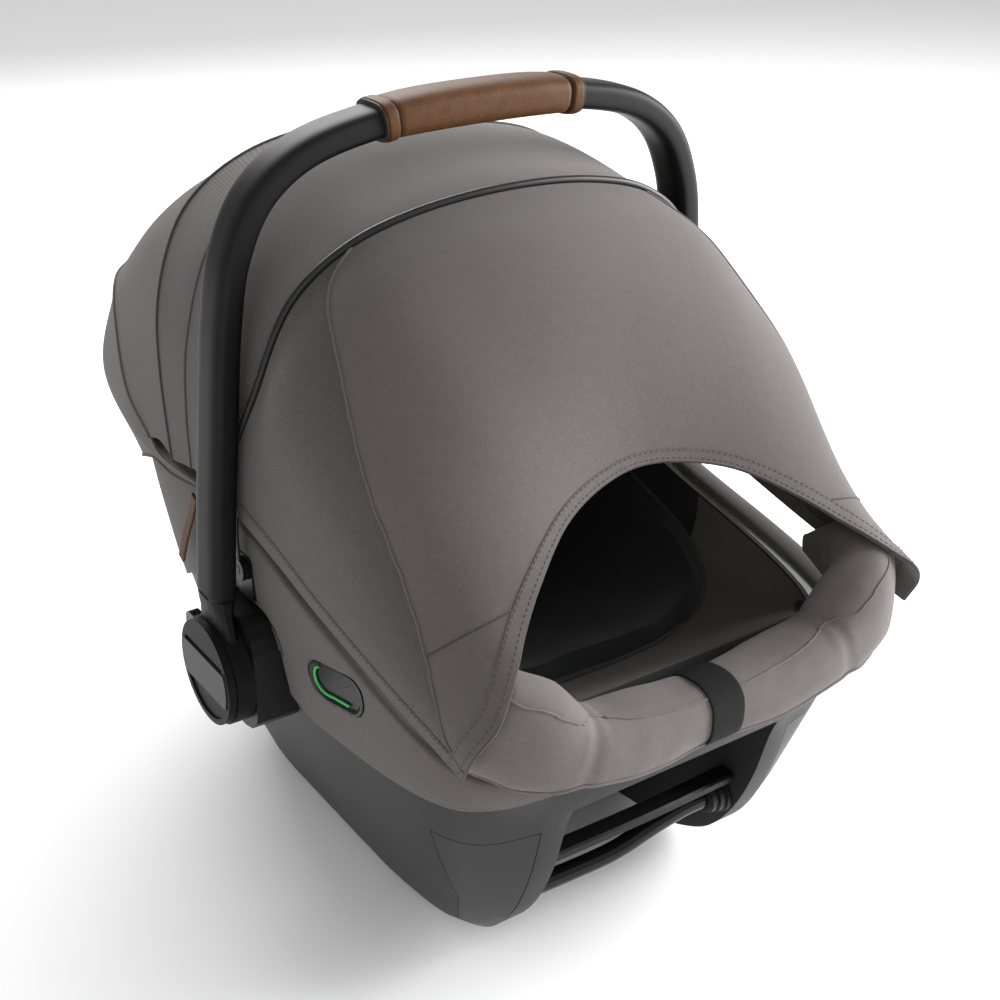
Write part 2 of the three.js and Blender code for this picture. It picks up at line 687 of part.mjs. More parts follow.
// A sheet through hoops, from one share of the way to another, between two depths under the hoops.
function sheet(hoops, from, to, rows, outDepth = 0, inDepth = canopy.skin) {
  const grid = Array.from({ length: rows + 1 }, () => []);
  for (let c = 0; c <= columns; c += 1) {
    const across = new THREE.CatmullRomCurve3(hoops.map((line) => line[c]), false, 'centripetal');
    grid.forEach((row, r) => row.push(across.getPoint(from + (to - from) * r / rows)));
  }
  const at = (r, c) => grid[Math.max(0, Math.min(rows, r))][Math.max(0, Math.min(columns, c))];
  const heart = vec(0, alongFit(40), 300);
  const atDepth = (depth) => grid.map((row, r) => row.map((point, c) => {
    const down = at(r + 1, c).clone().sub(at(r - 1, c));
    const over = at(r, c + 1).clone().sub(at(r, c - 1));
    const normal = down.cross(over).normalize();
    const inwards = Math.sign(heart.clone().sub(point).dot(normal)) || 1;
    return point.clone().addScaledVector(normal, inwards * depth);
  }));
  const outer = atDepth(outDepth);
  const inner = atDepth(inDepth);
  const width = columns + 1;
  const count = (rows + 1) * width;
  const index = [];
  const quad = (a, b, c, d) => index.push(a, b, c, a, c, d);
  for (let r = 0; r < rows; r += 1) {
    for (let c = 0; c < columns; c += 1) {
      const a = r * width + c;
      quad(a, a + 1, a + width + 1, a + width);
      quad(count + a + width, count + a + width + 1, count + a + 1, count + a);
    }
    const left = r * width;
    const right = left + columns;
    quad(left + width, count + left + width, count + left, left);
    quad(right, count + right, count + right + width, right + width);
  }
  for (let c = 0; c < columns; c += 1) {
    const low = rows * width + c;
    quad(c, count + c, count + c + 1, c + 1);
    quad(low + 1, count + low + 1, count + low, low);
  }
  const geometry = new THREE.BufferGeometry().setFromPoints([...outer.flat(), ...inner.flat()]);
  geometry.setIndex(index);
  return toSolid(geometry);
}

const seamGap = 0.012;
const coverClear = hull(2 * GAP + cover.thickness, 2 * GAP + cover.thickness);
const rearPanel = cut(sheet([skirtCurve, bulgeCurve, backCurve], seamGap, 1 - seamGap, 6), coverClear);
const backPanel = cut(sheet([backCurve, backBulge, midCurve], seamGap, 1 - seamGap, 6), coverClear);
const topPanel = sheet([midCurve, topBulge, frontCurve], seamGap, 1 - seamGap, 6);
const drapeHoops = [frontCurve, drapeHigh, drapeLow, hemCurve];
const drape = sheet(drapeHoops, seamGap, 1, 10);

// The foot cushion tucks in under the drape's hem.
const underHem = cut(footRoll, sheet(drapeHoops, seamGap, 1, 10, -2, canopy.skin + 2), drape);
const footCushion = underHem.decompose().sort((a, b) => b.volume() - a.volume())[0];

// ---------------------------------------------------------------- canopy bows and their pivots

const pivotY = alongFit(canopy.pivotY);
const eye = { radius: 9, thickness: 2.1, bore: 3.4 };
const eyeOuter = canopyHalf - canopy.skin - 0.6;
const eyeInner = eyeOuter - eye.thickness - GAP;
const insideOf = (curve, depth) => curve.map((p) => {
  const away = vec(p.x, 0, p.z - 300);
  return p.clone().addScaledVector(away.normalize(), -depth);
});

// A flat strip bow whose two feet are flat eyes on the canopy's pivot.
function bow(curve, x, feet) {
  const inner = insideOf(curve, canopy.skin + canopy.bowThickness / 2 + 1.8);
  const left = feet.map(([share, y, z]) => vec(-share, alongFit(y), z));
  const right = feet.map(([share, y, z]) => vec(share, alongFit(y), z)).reverse();
  const strip = () => oval(canopy.bowWidth, canopy.bowThickness, 6, 3);
  const wire = sweep([...left, ...inner, ...right], strip, Y, 34);
  const disc = barX(x - eye.thickness, x, eye.radius, pivotY, canopy.pivotZ, 20);
  const bore = barX(x - 5, x + 5, eye.bore, pivotY, canopy.pivotZ, 16);
  return cut(join(toSolid(wire), disc, mirrored(disc)), bore, mirrored(bore));
}

const footX = (x) => x - eye.thickness / 2;
const frontBow = bow(
  frontCurve.filter((p) => p.z > 330),
  eyeOuter,
  [[footX(eyeOuter), 7, 254], [footX(eyeOuter), 6, 290]],
);
const midBow = bow(
  midCurve.filter((p) => p.z > 350),
  eyeInner,
  [[footX(eyeInner), 14, 253], [footX(eyeInner), 46, 284], [footX(eyeInner), 92, 322]],
);
const studFoot = eyeInner - eye.thickness - GAP;
const canopyMount = join(
  plateX(roundedRect(pivotY - 12, pivotY + 12, hub.z + hubBoss.high + 3, canopy.pivotZ + 11, 5), 130, studFoot)
    .subtract(hullClear),
  barX(studFoot - 1, eyeOuter + 0.3, eye.bore - GAP, pivotY, canopy.pivotZ, 14),
);
const mountClear = plateX(
  roundedRect(pivotY - 12 - GAP, pivotY + 12 + GAP, hub.z + hubBoss.high + 3 - GAP, canopy.pivotZ + 11 + GAP, 5),
  130,
  outerReach,
);
seatCover = cut(seatCover, mountClear, mirrored(mountClear));

// ---------------------------------------------------------------- belt guides, legs, cross bars, lever

const guide = { proud: 1.4, rim: 4.5, floor: 1.2 };
const guideOutline = (grow) => {
  const corners = [
    [-150, 211], [-100, 197], [-84, 198], [-79, 213], [-90, 224], [-146, 239], [-158, 235], [-159, 222],
  ];
  const middleY = -118;
  const middleZ = 219;
  return corners.map(([y, z]) => [
    alongFit(y) + (y - middleY) / 39 * grow,
    z + (z - middleZ) / 19 * grow,
  ]);
};
const guideZone = (grow) => plateX(guideOutline(grow), 120, outerReach);
const guideShell = (outerGrow, innerGrow) => cut(hull(outerGrow, high), hull(innerGrow, high + 5));
const coverFace = GAP + cover.thickness;
const guideTray = cut(
  guideZone(0).intersect(guideShell(coverFace + guide.proud, 2 * GAP)),
  guideZone(-guide.rim).intersect(guideShell(coverFace + 20, 2 * GAP + guide.floor)),
);
const stripe = { width: 2.2, high: 1.6 };
const stripeCorner = cut(
  guideZone(-guide.rim - GAP),
  guideZone(-guide.rim - GAP - stripe.width).translate([0, -8, 9]),
);
const stripeLift = 3 * GAP + guide.floor;
const guideStripe = stripeCorner.intersect(guideShell(stripeLift + stripe.high, stripeLift));
seatCover = cut(seatCover, guideZone(GAP), mirrored(guideZone(GAP)));

const legPanelSolid = legCorner.intersect(panelZone(0));

const inLegs = tunnel.halfWidth - GAP;
const bush = { length: 17, radius: 15, ribs: 3 };
const tubeEnd = inLegs - bush.length - GAP;
const tubeLine = [
  [-1, -199, 58], [-0.85, -199, 58], [-0.55, -200, 58], [-0.1, -204, 62], [0.35, -206, 71], [0.75, -206, 75],
  [1, -206, 75],
];
const crossTube = sweep(
  tubeLine.map(([share, y, z]) => vec(share < 0 ? share * inLegs : share * tubeEnd, alongFit(y), z)),
  () => oval(14, 14, 12),
  Y,
  22,
);
const bushProfile = [];
for (let k = 0; k < bush.ribs; k += 1) {
  const start = k * bush.length / bush.ribs;
  const step = bush.length / bush.ribs;
  const radius = bush.radius - 1.6 * k;
  bushProfile.push([radius, start], [radius, start + step * 0.6], [radius - 2.4, start + step * 0.7]);
  bushProfile.push([radius - 2.4, start + step]);
}
const bushShape = new THREE.LatheGeometry(
  [[0, 0], ...bushProfile, [0, bush.length]].map(([r, h]) => new THREE.Vector2(r, h)),
  24,
);
const tubeBush = toSolid(bushShape.rotateZ(Math.PI / 2).translate(inLegs, alongFit(-206), 75));
const crossBar = sweep(
  [[-1, -214, 96], [-0.8, -214, 96], [-0.3, -217, 98], [0.3, -217, 98], [0.8, -214, 96], [1, -214, 96]]
    .map(([share, y, z]) => vec(share * inLegs, alongFit(y), z)),
  () => oval(16, 8, 10, 4),
  Y,
  10,
);

const leverPivot = { y: alongFit(238), z: 64, radius: 3 };
const leverAngle = THREE.MathUtils.degToRad(45);
const ear = { thickness: 6, gap: 0.5 };
const leverHalf = lever.width / 2;
function alongLever(outline) {
  const c = Math.cos(leverAngle);
  const s = Math.sin(leverAngle);
  return outline.map(([a, b]) => [leverPivot.y + a * c - b * s, leverPivot.z + a * s + b * c]);
}
const leverPlate = plateX(
  alongLever([[-5, -4], [0, -6], [52, -6], [60, -3], [62, 0], [56, 0], [50, -2], [8, -1], [4, 4], [-4, 4]]),
  -leverHalf,
  leverHalf,
);
const releaseLever = cut(leverPlate, barX(-200, 200, leverPivot.radius + GAP, leverPivot.y, leverPivot.z, 16));
const leverPin = barX(
  -leverHalf - ear.gap - ear.thickness,
  leverHalf + ear.gap + ear.thickness,
  leverPivot.radius,
  leverPivot.y,
  leverPivot.z,
  16,
);
const earPlate = plateX(
  roundedRect(leverPivot.y - 14, leverPivot.y + 8, leverPivot.z - 7, leverPivot.z + 34, 6),
  leverHalf + ear.gap,
  leverHalf + ear.gap + ear.thickness,
);
const leverEar = cut(
  earPlate,
  hull(GAP, 2),
  barX(-200, 200, leverPivot.radius + GAP, leverPivot.y, leverPivot.z, 16),
);

// ---------------------------------------------------------------- leather tabs

const tab = { width: 13, thickness: 2.2 };
const tabLine = [[187.2, 72, 281], [187.4, 82, 262], [187.3, 96, 240], [187, 110, 214]];
const tabPath = tabLine.map(([x, y, z]) => vec(acrossFit(x, drawn.canopyHalf, canopyHalf), alongFit(y), z));
const leatherTab = sweep(tabPath, () => oval(tab.thickness, tab.width, 8, 5), X, 8);

// ---------------------------------------------------------------- the assembly

piece('outer_shell', shell, plastic);
piece('foam_bowl', foamBowl, foamWhite);
piece('seat_liner', linerBowl, blackCloth);
piece('seat_cover', seatCover, fabric);
piece('foot_cushion', footCushion, cushionCloth);
piece('infant_insert', infantInsert, charcoal);
piece('head_pad', headPad, charcoal);
for (const [name, side] of sides) {
  const x = side * 36;
  piece(`shoulder_strap_${name}`, strap(strapPath(x, shoulderStations, 8), webbing.thickness, 25), webCloth);
  piece(`shoulder_pad_${name}`, strap(strapPath(x, [119, 86, 54], padLift), 9, 42), charcoal);
}
piece('crotch_strap', strap([
  vec(0, alongFit(-64), padTop(alongFit(-64)) + 3),
  vec(0, alongFit(-54), padTop(alongFit(-54)) + 9),
  vec(0, buckleMiddle - buckle.length / 2 - GAP, buckleLow + 9),
], 3, 38), webCloth);
piece('buckle_body', cut(buckleCase(0), buttonWell(GAP, buckle.height - 8, buckle.height + 2)), blackPlastic);
piece('buckle_button', buttonWell(0, buckle.height - 8 + GAP + buckle.travel, buckle.height + 1), red);
piece('foot_webbing', footLoop, webCloth);
piece('cross_tube', crossTube, glossBlack);
piece('tube_bush', tubeBush, blackPlastic);
piece('cross_bar', crossBar, blackPlastic);
piece('release_lever', releaseLever, blackPlastic);
piece('lever_pin', leverPin, steel);
for (const [name, side] of sides) {
  piece(`lever_ear_${name}`, onSide(leverEar, side), blackPlastic);
  piece(`leg_panel_${name}`, onSide(legPanelSolid, side), plastic);
  piece(`belt_guide_${name}`, onSide(guideTray, side), blackPlastic);
  piece(`guide_stripe_${name}`, onSide(guideStripe, side), green);
  piece(`hub_housing_${name}`, onSide(housing, side), blackPlastic);
  piece(`pivot_pin_${name}`, onSide(pin, side), steel);
  piece(`lock_gear_${name}`, onSide(lockGear, side), blackPlastic);
  piece(`gear_spring_${name}`, onSide(toSolid(gearSpring), side), steel);
  piece(`handle_arm_${name}`, onSide(handleArm, side), handleCoat);
  piece(`release_button_${name}`, onSide(buttonNose, side), blackPlastic);
  piece(`hub_cap_${name}`, onSide(hubCap, side), handleCoat);
  piece(`hub_badge_${name}`, onSide(hubBadge, side), handleCoat);
  piece(`canopy_mount_${name}`, onSide(canopyMount, side), blackPlastic);
  piece(`leather_tab_${name}`, onSide(toSolid(leatherTab), side), leather);
}
piece('handle_tube', handleTube, handleCoat);
piece('handle_grip', sleeve(-grip.halfLength, grip.halfLength, grip.thickness, 8), leather);
piece('grip_ring_left', sleeve(
  -grip.halfLength - grip.ringGap - grip.ringLength,
  -grip.halfLength - grip.ringGap,
  grip.thickness + grip.ringProud,
  2,
), leather);
piece('grip_ring_right', sleeve(
  grip.halfLength + grip.ringGap,
  grip.halfLength + grip.ringGap + grip.ringLength,
  grip.thickness + grip.ringProud,
  2,
), leather);
piece('rear_panel', rearPanel, fabric);
piece('back_panel', backPanel, fabric);
piece('top_panel', topPanel, fabric);
piece('drape', drape, mesh);
piece('front_bow', frontBow, blackPlastic);
piece('mid_bow', midBow, blackPlastic);

// The origin goes below the middle of the whole object's box, on the surface it rests on.
const box = new THREE.Box3().setFromObject(carSeat);
carSeat.position.set(-(box.min.x + box.max.x) / 2, -(box.min.y + box.max.y) / 2, -box.min.z);
carSeat.updateMatrixWorld(true);

export default carSeat;
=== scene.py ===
import math

import bmesh
import bpy
import numpy as np
from mathutils import Matrix, Vector, kdtree, noise
from mathutils.bvhtree import BVHTree


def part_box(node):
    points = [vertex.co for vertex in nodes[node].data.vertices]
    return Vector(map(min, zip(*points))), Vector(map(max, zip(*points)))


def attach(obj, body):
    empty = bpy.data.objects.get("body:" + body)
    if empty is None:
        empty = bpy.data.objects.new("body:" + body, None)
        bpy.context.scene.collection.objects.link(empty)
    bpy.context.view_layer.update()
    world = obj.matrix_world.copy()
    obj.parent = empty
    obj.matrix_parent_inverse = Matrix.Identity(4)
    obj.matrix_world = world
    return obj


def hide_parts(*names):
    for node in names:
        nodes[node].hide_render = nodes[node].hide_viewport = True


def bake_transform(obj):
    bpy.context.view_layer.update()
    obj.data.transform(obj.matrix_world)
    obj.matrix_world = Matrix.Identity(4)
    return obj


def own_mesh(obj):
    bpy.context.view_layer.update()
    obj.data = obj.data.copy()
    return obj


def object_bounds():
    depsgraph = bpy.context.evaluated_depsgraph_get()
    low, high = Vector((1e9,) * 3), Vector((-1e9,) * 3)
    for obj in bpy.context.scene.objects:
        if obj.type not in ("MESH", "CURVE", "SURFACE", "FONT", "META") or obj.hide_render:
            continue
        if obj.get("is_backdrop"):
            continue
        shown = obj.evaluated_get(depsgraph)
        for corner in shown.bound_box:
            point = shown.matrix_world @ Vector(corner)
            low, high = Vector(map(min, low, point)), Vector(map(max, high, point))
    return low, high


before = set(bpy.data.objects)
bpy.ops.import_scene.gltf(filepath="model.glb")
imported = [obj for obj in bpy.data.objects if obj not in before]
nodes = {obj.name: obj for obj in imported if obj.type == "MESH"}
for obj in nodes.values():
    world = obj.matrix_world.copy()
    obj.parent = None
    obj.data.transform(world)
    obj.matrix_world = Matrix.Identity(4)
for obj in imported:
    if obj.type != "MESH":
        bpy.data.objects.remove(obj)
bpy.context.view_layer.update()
SIDES = (("left", -1), ("right", 1))

# Drawn sizes below are in millimetres with Y counted from a plane 6 mm in front of the handle's axis,
# as the CAD draws them. This is how far that plane is from the frame's origin.
pin_low, pin_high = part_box("pivot_pin_left")
SHIFT_Y = (pin_low.y + pin_high.y) / 2 - 0.006


def placed(points):
    """Drawn millimetres to metres in the frame."""
    grid = np.array(points, float) * 0.001
    grid[..., 1] += SHIFT_Y
    return grid


# ---------------------------------------------------------------- material helpers

def srgb(code):
    """A hex colour as linear RGBA."""
    values = [int(code[i:i + 2], 16) / 255 for i in (0, 2, 4)]
    return [v / 12.92 if v <= 0.04045 else ((v + 0.055) / 1.055) ** 2.4 for v in values] + [1.0]


def add(tree, kind, inputs=None, **settings):
    """One shader node with its settings and its inputs, each a value or a socket."""
    node = tree.nodes.new(kind)
    for key, value in settings.items():
        setattr(node, key, value)
    for key, value in (inputs or {}).items():
        if isinstance(value, bpy.types.NodeSocket):
            tree.links.new(value, node.inputs[key])
        else:
            node.inputs[key].default_value = value
    return node


def surface(name, roughness, **extra):
    """A new material: its node tree and its Principled shader."""
    material = bpy.data.materials.new(name)
    material.use_nodes = True
    shader = material.node_tree.nodes["Principled BSDF"]
    shader.inputs["Roughness"].default_value = roughness
    for key, value in extra.items():
        shader.inputs[key.replace("_", " ")].default_value = value
    return material, material.node_tree, shader


def speckled(tree, shader, code, spread, scale):
    """A base colour that drifts a little lighter and darker, as dyed stuff does."""
    place = add(tree, "ShaderNodeTexCoord")
    drift = add(tree, "ShaderNodeTexNoise", {"Vector": place.outputs["Object"], "Scale": scale, "Detail": 3.0})
    base = np.array(srgb(code))
    ramp = add(tree, "ShaderNodeValToRGB", {"Fac": drift.outputs["Fac"]})
    ramp.color_ramp.elements[0].position = 0.3
    ramp.color_ramp.elements[1].position = 0.7
    ramp.color_ramp.elements[0].color = [*(base[:3] * (1 - spread)), 1]
    ramp.color_ramp.elements[1].color = [*(base[:3] * (1 + spread)), 1]
    tree.links.new(ramp.outputs["Color"], shader.inputs["Base Color"])
    return place.outputs["Object"], ramp


def bumped(tree, shader, height, strength, distance):
    bump = add(tree, "ShaderNodeBump", {"Height": height, "Strength": strength, "Distance": distance})
    tree.links.new(bump.outputs["Normal"], shader.inputs["Normal"])


def cloth(name, code, spread=0.05, strength=0.35, sheen=0.12):
    """Plain weave: two crossed sets of fine threads, softened by noise."""
    material, tree, shader = surface(name, 0.88, Sheen_Weight=sheen, Sheen_Roughness=0.5,
                                     Specular_IOR_Level=0.25)
    place, _ = speckled(tree, shader, code, spread, 240.0)
    fine = add(tree, "ShaderNodeTexNoise", {"Vector": place, "Scale": 1500.0, "Detail": 2.0})
    warp = add(tree, "ShaderNodeTexWave", {"Vector": place, "Scale": 420.0, "Distortion": 1.5},
               bands_direction="DIAGONAL")
    both = add(tree, "ShaderNodeMath", {0: fine.outputs["Fac"], 1: warp.outputs["Fac"]}, operation="ADD")
    bumped(tree, shader, both.outputs[0], strength, 0.0004)
    return material


def knit_mesh(name, code):
    """Fine spacer mesh: close rows of small holes that read as thin slanting lines."""
    material, tree, shader = surface(name, 0.85, Sheen_Weight=0.2, Specular_IOR_Level=0.25)
    place, _ = speckled(tree, shader, code, 0.05, 160.0)
    rows = add(tree, "ShaderNodeTexWave", {"Vector": place, "Scale": 230.0, "Distortion": 0.6, "Detail": 1.0},
               bands_direction="Z")
    cells = add(tree, "ShaderNodeTexVoronoi", {"Vector": place, "Scale": 900.0})
    both = add(tree, "ShaderNodeMath", {0: rows.outputs["Fac"], 1: cells.outputs["Distance"]},
               operation="MULTIPLY")
    bumped(tree, shader, both.outputs[0], 0.7, 0.0006)
    return material


def plastic(name, code, roughness, grain=0.12, specular=0.3):
    """Moulded plastic with a fine spark-eroded grain."""
    material, tree, shader = surface(name, roughness, Specular_IOR_Level=specular)
    place, _ = speckled(tree, shader, code, 0.03, 60.0)
    if grain:
        fine = add(tree, "ShaderNodeTexNoise", {"Vector": place, "Scale": 2200.0, "Detail": 2.0})
        bumped(tree, shader, fine.outputs["Fac"], grain, 0.0003)
    return material


def leather(name, code):
    """Smooth dyed leather: shallow pebbles and a little wear in its colour."""
    material, tree, shader = surface(name, 0.55, Specular_IOR_Level=0.18)
    place, _ = speckled(tree, shader, code, 0.16, 110.0)
    pebble = add(tree, "ShaderNodeTexVoronoi", {"Vector": place, "Scale": 900.0}, feature="SMOOTH_F1")
    bumped(tree, shader, pebble.outputs["Distance"], 0.35, 0.0004)
    return material


TAUPE = cloth("woven polyester, taupe", "575250")
TAUPE_SEAT = cloth("woven polyester, seat cover", "56514f")
TAUPE_DARK = cloth("woven polyester, binding", "3d3a38")
TAUPE_HEM = cloth("woven polyester, hem tape", "55504e")
CUSHION = cloth("woven polyester, foot cushion", "5f5957", strength=0.3)
MESH = knit_mesh("knitted side mesh", "454140")
THREAD = cloth("sewing thread, taupe", "423e3c", sheen=0.1)
BLACK_CLOTH = cloth("knitted liner, black", "191a19")
CHARCOAL = cloth("soft knit, charcoal", "1f2120", strength=0.5)
CHARCOAL_PIPING = cloth("knit piping, charcoal", "3a3c3b", strength=0.5)
WEBBING = cloth("woven webbing, black", "111112", strength=0.8, sheen=0.0)
PIPING = plastic("coated piping, black", "171717", 0.4, 0.0)
SHELL = plastic("polypropylene, dark grey", "242325", 0.5)
# The leg cover's grey is darker than the shell's partly as painted shade, standing in for the leg's shaded
# front side.
LEG_COVER_PAINTED_SHADE = plastic("polypropylene, leg cover, darkened as painted shade", "1b1a1c", 0.4)
BLACK = plastic("nylon, black", "101011", 0.4)
GLOSS = plastic("polished nylon, black", "0c0c0d", 0.16, 0.0)
COATED = plastic("soft coat, handle", "0e0e0f", 0.5, 0.08, 0.17)
COATED_IN = plastic("smooth nylon, handle inside", "0a0a0b", 0.42, 0.0, 0.12)
BADGE = plastic("satin band, hub", "2a2a2b", 0.4, 0.05)
LEATHER = leather("dyed leather, brown", "4d3018")
LEATHER_DARK = plastic("rubber edge, dark brown", "2e211b", 0.6, 0.0)
GREEN = plastic("green guide line", "3fae58", 0.45, 0.0)
RED = plastic("red push button", "b3241e", 0.35, 0.0)
FOAM = plastic("bead foam, pale", "a8a8a4", 0.9)
STEEL, _, steel_shader = surface("turned steel", 0.3, Metallic=1.0)
steel_shader.inputs["Base Color"].default_value = srgb("b0b2b5")


# ---------------------------------------------------------------- mesh helpers

def build(name, points, faces, material, sharp=None):
    """A mesh object from points and faces, smooth but for edges over an angle."""
    mesh = bpy.data.meshes.new(name)
    mesh.from_pydata([tuple(p) for p in points], [], [tuple(int(i) for i in f) for f in faces])
    mesh.materials.append(material)
    mesh.polygons.foreach_set("use_smooth", [True] * len(mesh.polygons))
    mesh.update()
    item = bpy.data.objects.new(name, mesh)
    bpy.context.scene.collection.objects.link(item)
    if sharp:
        mesh.set_sharp_from_angle(angle=math.radians(sharp))
    return item


def turned_out(item):
    """Turns every face outwards."""
    work = bmesh.new()
    work.from_mesh(item.data)
    bmesh.ops.recalc_face_normals(work, faces=work.faces)
    work.to_mesh(item.data)
    work.free()
    return item


def unit(vectors):
    return vectors / np.maximum(np.linalg.norm(vectors, axis=-1, keepdims=True), 1e-12)


HEART = placed([0, 40, 250])


def outward(grid):
    """A unit normal at each point of a grid, away from the middle of the seat."""
    normal = unit(np.cross(np.gradient(grid, axis=0), np.gradient(grid, axis=1)))
    away = np.sum(normal * (grid - HEART), axis=-1)
    sign = 1 if np.sum(away) > 0 else -1
    return normal * sign


def layer_faces(rows, cols, start=0):
    index = np.arange(rows * cols).reshape(rows, cols) + start
    return np.stack([index[:-1, :-1], index[:-1, 1:], index[1:, 1:], index[1:, :-1]], -1).reshape(-1, 4)


def sheet_mesh(name, grid, thickness, material, sharp=None):
    """A closed sheet: the grid, a copy of it under it, and a rim between them."""
    rows, cols = grid.shape[:2]
    under = grid - outward(grid) * thickness
    count = rows * cols
    top = layer_faces(rows, cols)
    low = layer_faces(rows, cols, count)[:, ::-1]
    ring = np.concatenate([
        np.arange(cols), np.arange(1, rows) * cols + cols - 1,
        (rows - 1) * cols + np.arange(cols - 2, -1, -1), np.arange(rows - 2, 0, -1) * cols,
    ])
    following = np.roll(ring, -1)
    rim = np.stack([following, ring, ring + count, following + count], -1)
    points = np.concatenate([grid.reshape(-1, 3), under.reshape(-1, 3)])
    return turned_out(build(name, points, np.concatenate([top, low, rim]), material, sharp=sharp))


def rings_mesh(name, rings, material, sharp=None):
    """A solid from rings of equal count, capped at both ends."""
    rings = np.asarray(rings)
    count, sides = rings.shape[:2]
    index = np.arange(count * sides).reshape(count, sides)
    a, b = index[:-1], index[1:]
    quads = np.stack([a, np.roll(a, -1, 1), np.roll(b, -1, 1), b], -1).reshape(-1, 4)
    faces = [tuple(q) for q in quads] + [tuple(index[0][::-1]), tuple(index[-1])]
    return turned_out(build(name, rings.reshape(-1, 3), faces, material, sharp=sharp))


def oval(width, height, sides, power=2.0):
    """A rounded section: power 2 is an ellipse, and higher is squarer."""
    angle = (np.arange(sides) + 0.5) / sides * 2 * math.pi
    c, s = np.cos(angle), np.sin(angle)
    return np.stack([
        np.sign(c) * width / 2 * np.abs(c) ** (2 / power),
        np.sign(s) * height / 2 * np.abs(s) ** (2 / power),
    ], -1)


def sweep(name, path, section, across, material, sharp=None):
    """A section, or one for each point, carried along a path with one side held near a direction."""
    path = np.asarray(path)
    along = unit(np.gradient(path, axis=0))
    side = np.broadcast_to(np.asarray(across, float), path.shape)
    wide = unit(side - along * np.sum(side * along, axis=-1, keepdims=True))
    rise = np.cross(wide, along)
    section = np.asarray(section)
    if section.ndim == 2:
        section = np.broadcast_to(section, (len(path), *section.shape))
    rings = path[:, None] + wide[:, None] * section[..., :1] + rise[:, None] * section[..., 1:]
    return rings_mesh(name, rings, material, sharp)


def through(knots, share):
    """A centripetal curve through knots (count, ..., 3), at a share of the way."""
    knots = np.asarray(knots, float)
    last = len(knots) - 1
    place = min(max(share, 0.0), 1.0) * last
    i = min(int(place), last - 1)
    t = place - i
    p1, p2 = knots[i], knots[i + 1]
    p0 = knots[i - 1] if i > 0 else 2 * p1 - p2
    p3 = knots[i + 2] if i + 2 <= last else 2 * p2 - p1
    root = [np.maximum(np.linalg.norm(b - a, axis=-1, keepdims=True), 1e-9) ** 0.5
            for a, b in ((p0, p1), (p1, p2), (p2, p3))]
    m1 = ((p1 - p0) / root[0] - (p2 - p0) / (root[0] + root[1]) + (p2 - p1) / root[1]) * root[1]
    m2 = ((p2 - p1) / root[1] - (p3 - p1) / (root[1] + root[2]) + (p3 - p2) / root[2]) * root[1]
    t2, t3 = t * t, t ** 3
    return (2 * t3 - 3 * t2 + 1) * p1 + (t3 - 2 * t2 + t) * m1 + (3 * t2 - 2 * t3) * p2 + (t3 - t2) * m2


def spaced(points, count):
    """Evenly spaced points on the curve through these."""
    fine = np.array([through(points, k / 400) for k in range(401)])
    run = np.concatenate([[0], np.cumsum(np.linalg.norm(np.diff(fine, axis=0), axis=1))])
    at = np.linspace(0, run[-1], count)
    return np.stack([np.interp(at, run, fine[:, k]) for k in range(3)], -1)


def both_sides(half):
    """A line from the left to the middle, carried on to the right as its mirror image."""
    half = np.array(half, float)
    return np.concatenate([half, half[-2::-1] * [-1, 1, 1]])


COLUMNS = 260


def arch(half):
    return placed(spaced(both_sides(half), COLUMNS + 1))


def ripples(points, size, height, seed):
    """Slow uneven rise and fall over points, for cloth that isn't drawn quite flat."""
    flat = points.reshape(-1, 3) / size + seed
    values = [noise.noise(Vector(p)) for p in flat]
    return np.array(values).reshape(points.shape[:-1]) * height


class Cloth:
    """A curved sheet through hoops: u runs from the first hoop to the last, t from left to right."""

    def __init__(self, hoops, rows=130, ripple=0.0008, seed=1.0):
        self.grid = np.array([through(np.array(hoops), r / rows) for r in range(rows + 1)])
        calm = np.sin(np.linspace(0, math.pi, rows + 1))[:, None] ** 0.5
        self.grid += outward(self.grid) * (ripples(self.grid, 0.075, ripple, seed) * calm)[..., None]
        self.normal = outward(self.grid)

    def at(self, u, t, lift=0.0):
        u, t = np.broadcast_arrays(np.asarray(u, float), np.asarray(t, float))
        rows, cols = self.grid.shape[0] - 1, self.grid.shape[1] - 1
        r, c = np.clip(u, 0, 1) * rows, np.clip(t, 0, 1) * cols
        r0, c0 = np.minimum(r.astype(int), rows - 1), np.minimum(c.astype(int), cols - 1)
        fr, fc = (r - r0)[..., None], (c - c0)[..., None]

        def mix(data):
            upper = data[r0, c0] * (1 - fc) + data[r0, c0 + 1] * fc
            lower = data[r0 + 1, c0] * (1 - fc) + data[r0 + 1, c0 + 1] * fc
            return upper * (1 - fr) + lower * fr
        return mix(self.grid) + unit(mix(self.normal)) * np.asarray(lift)[..., None]

    def nearest(self, points):
        """u and t of the grid's points nearest to these."""
        flat = self.grid.reshape(-1, 3)
        found = [int(np.argmin(np.sum((flat - p) ** 2, axis=1))) for p in points]
        width = self.grid.shape[1]
        return np.array([(k // width / (len(self.grid) - 1), k % width / (width - 1)) for k in found])


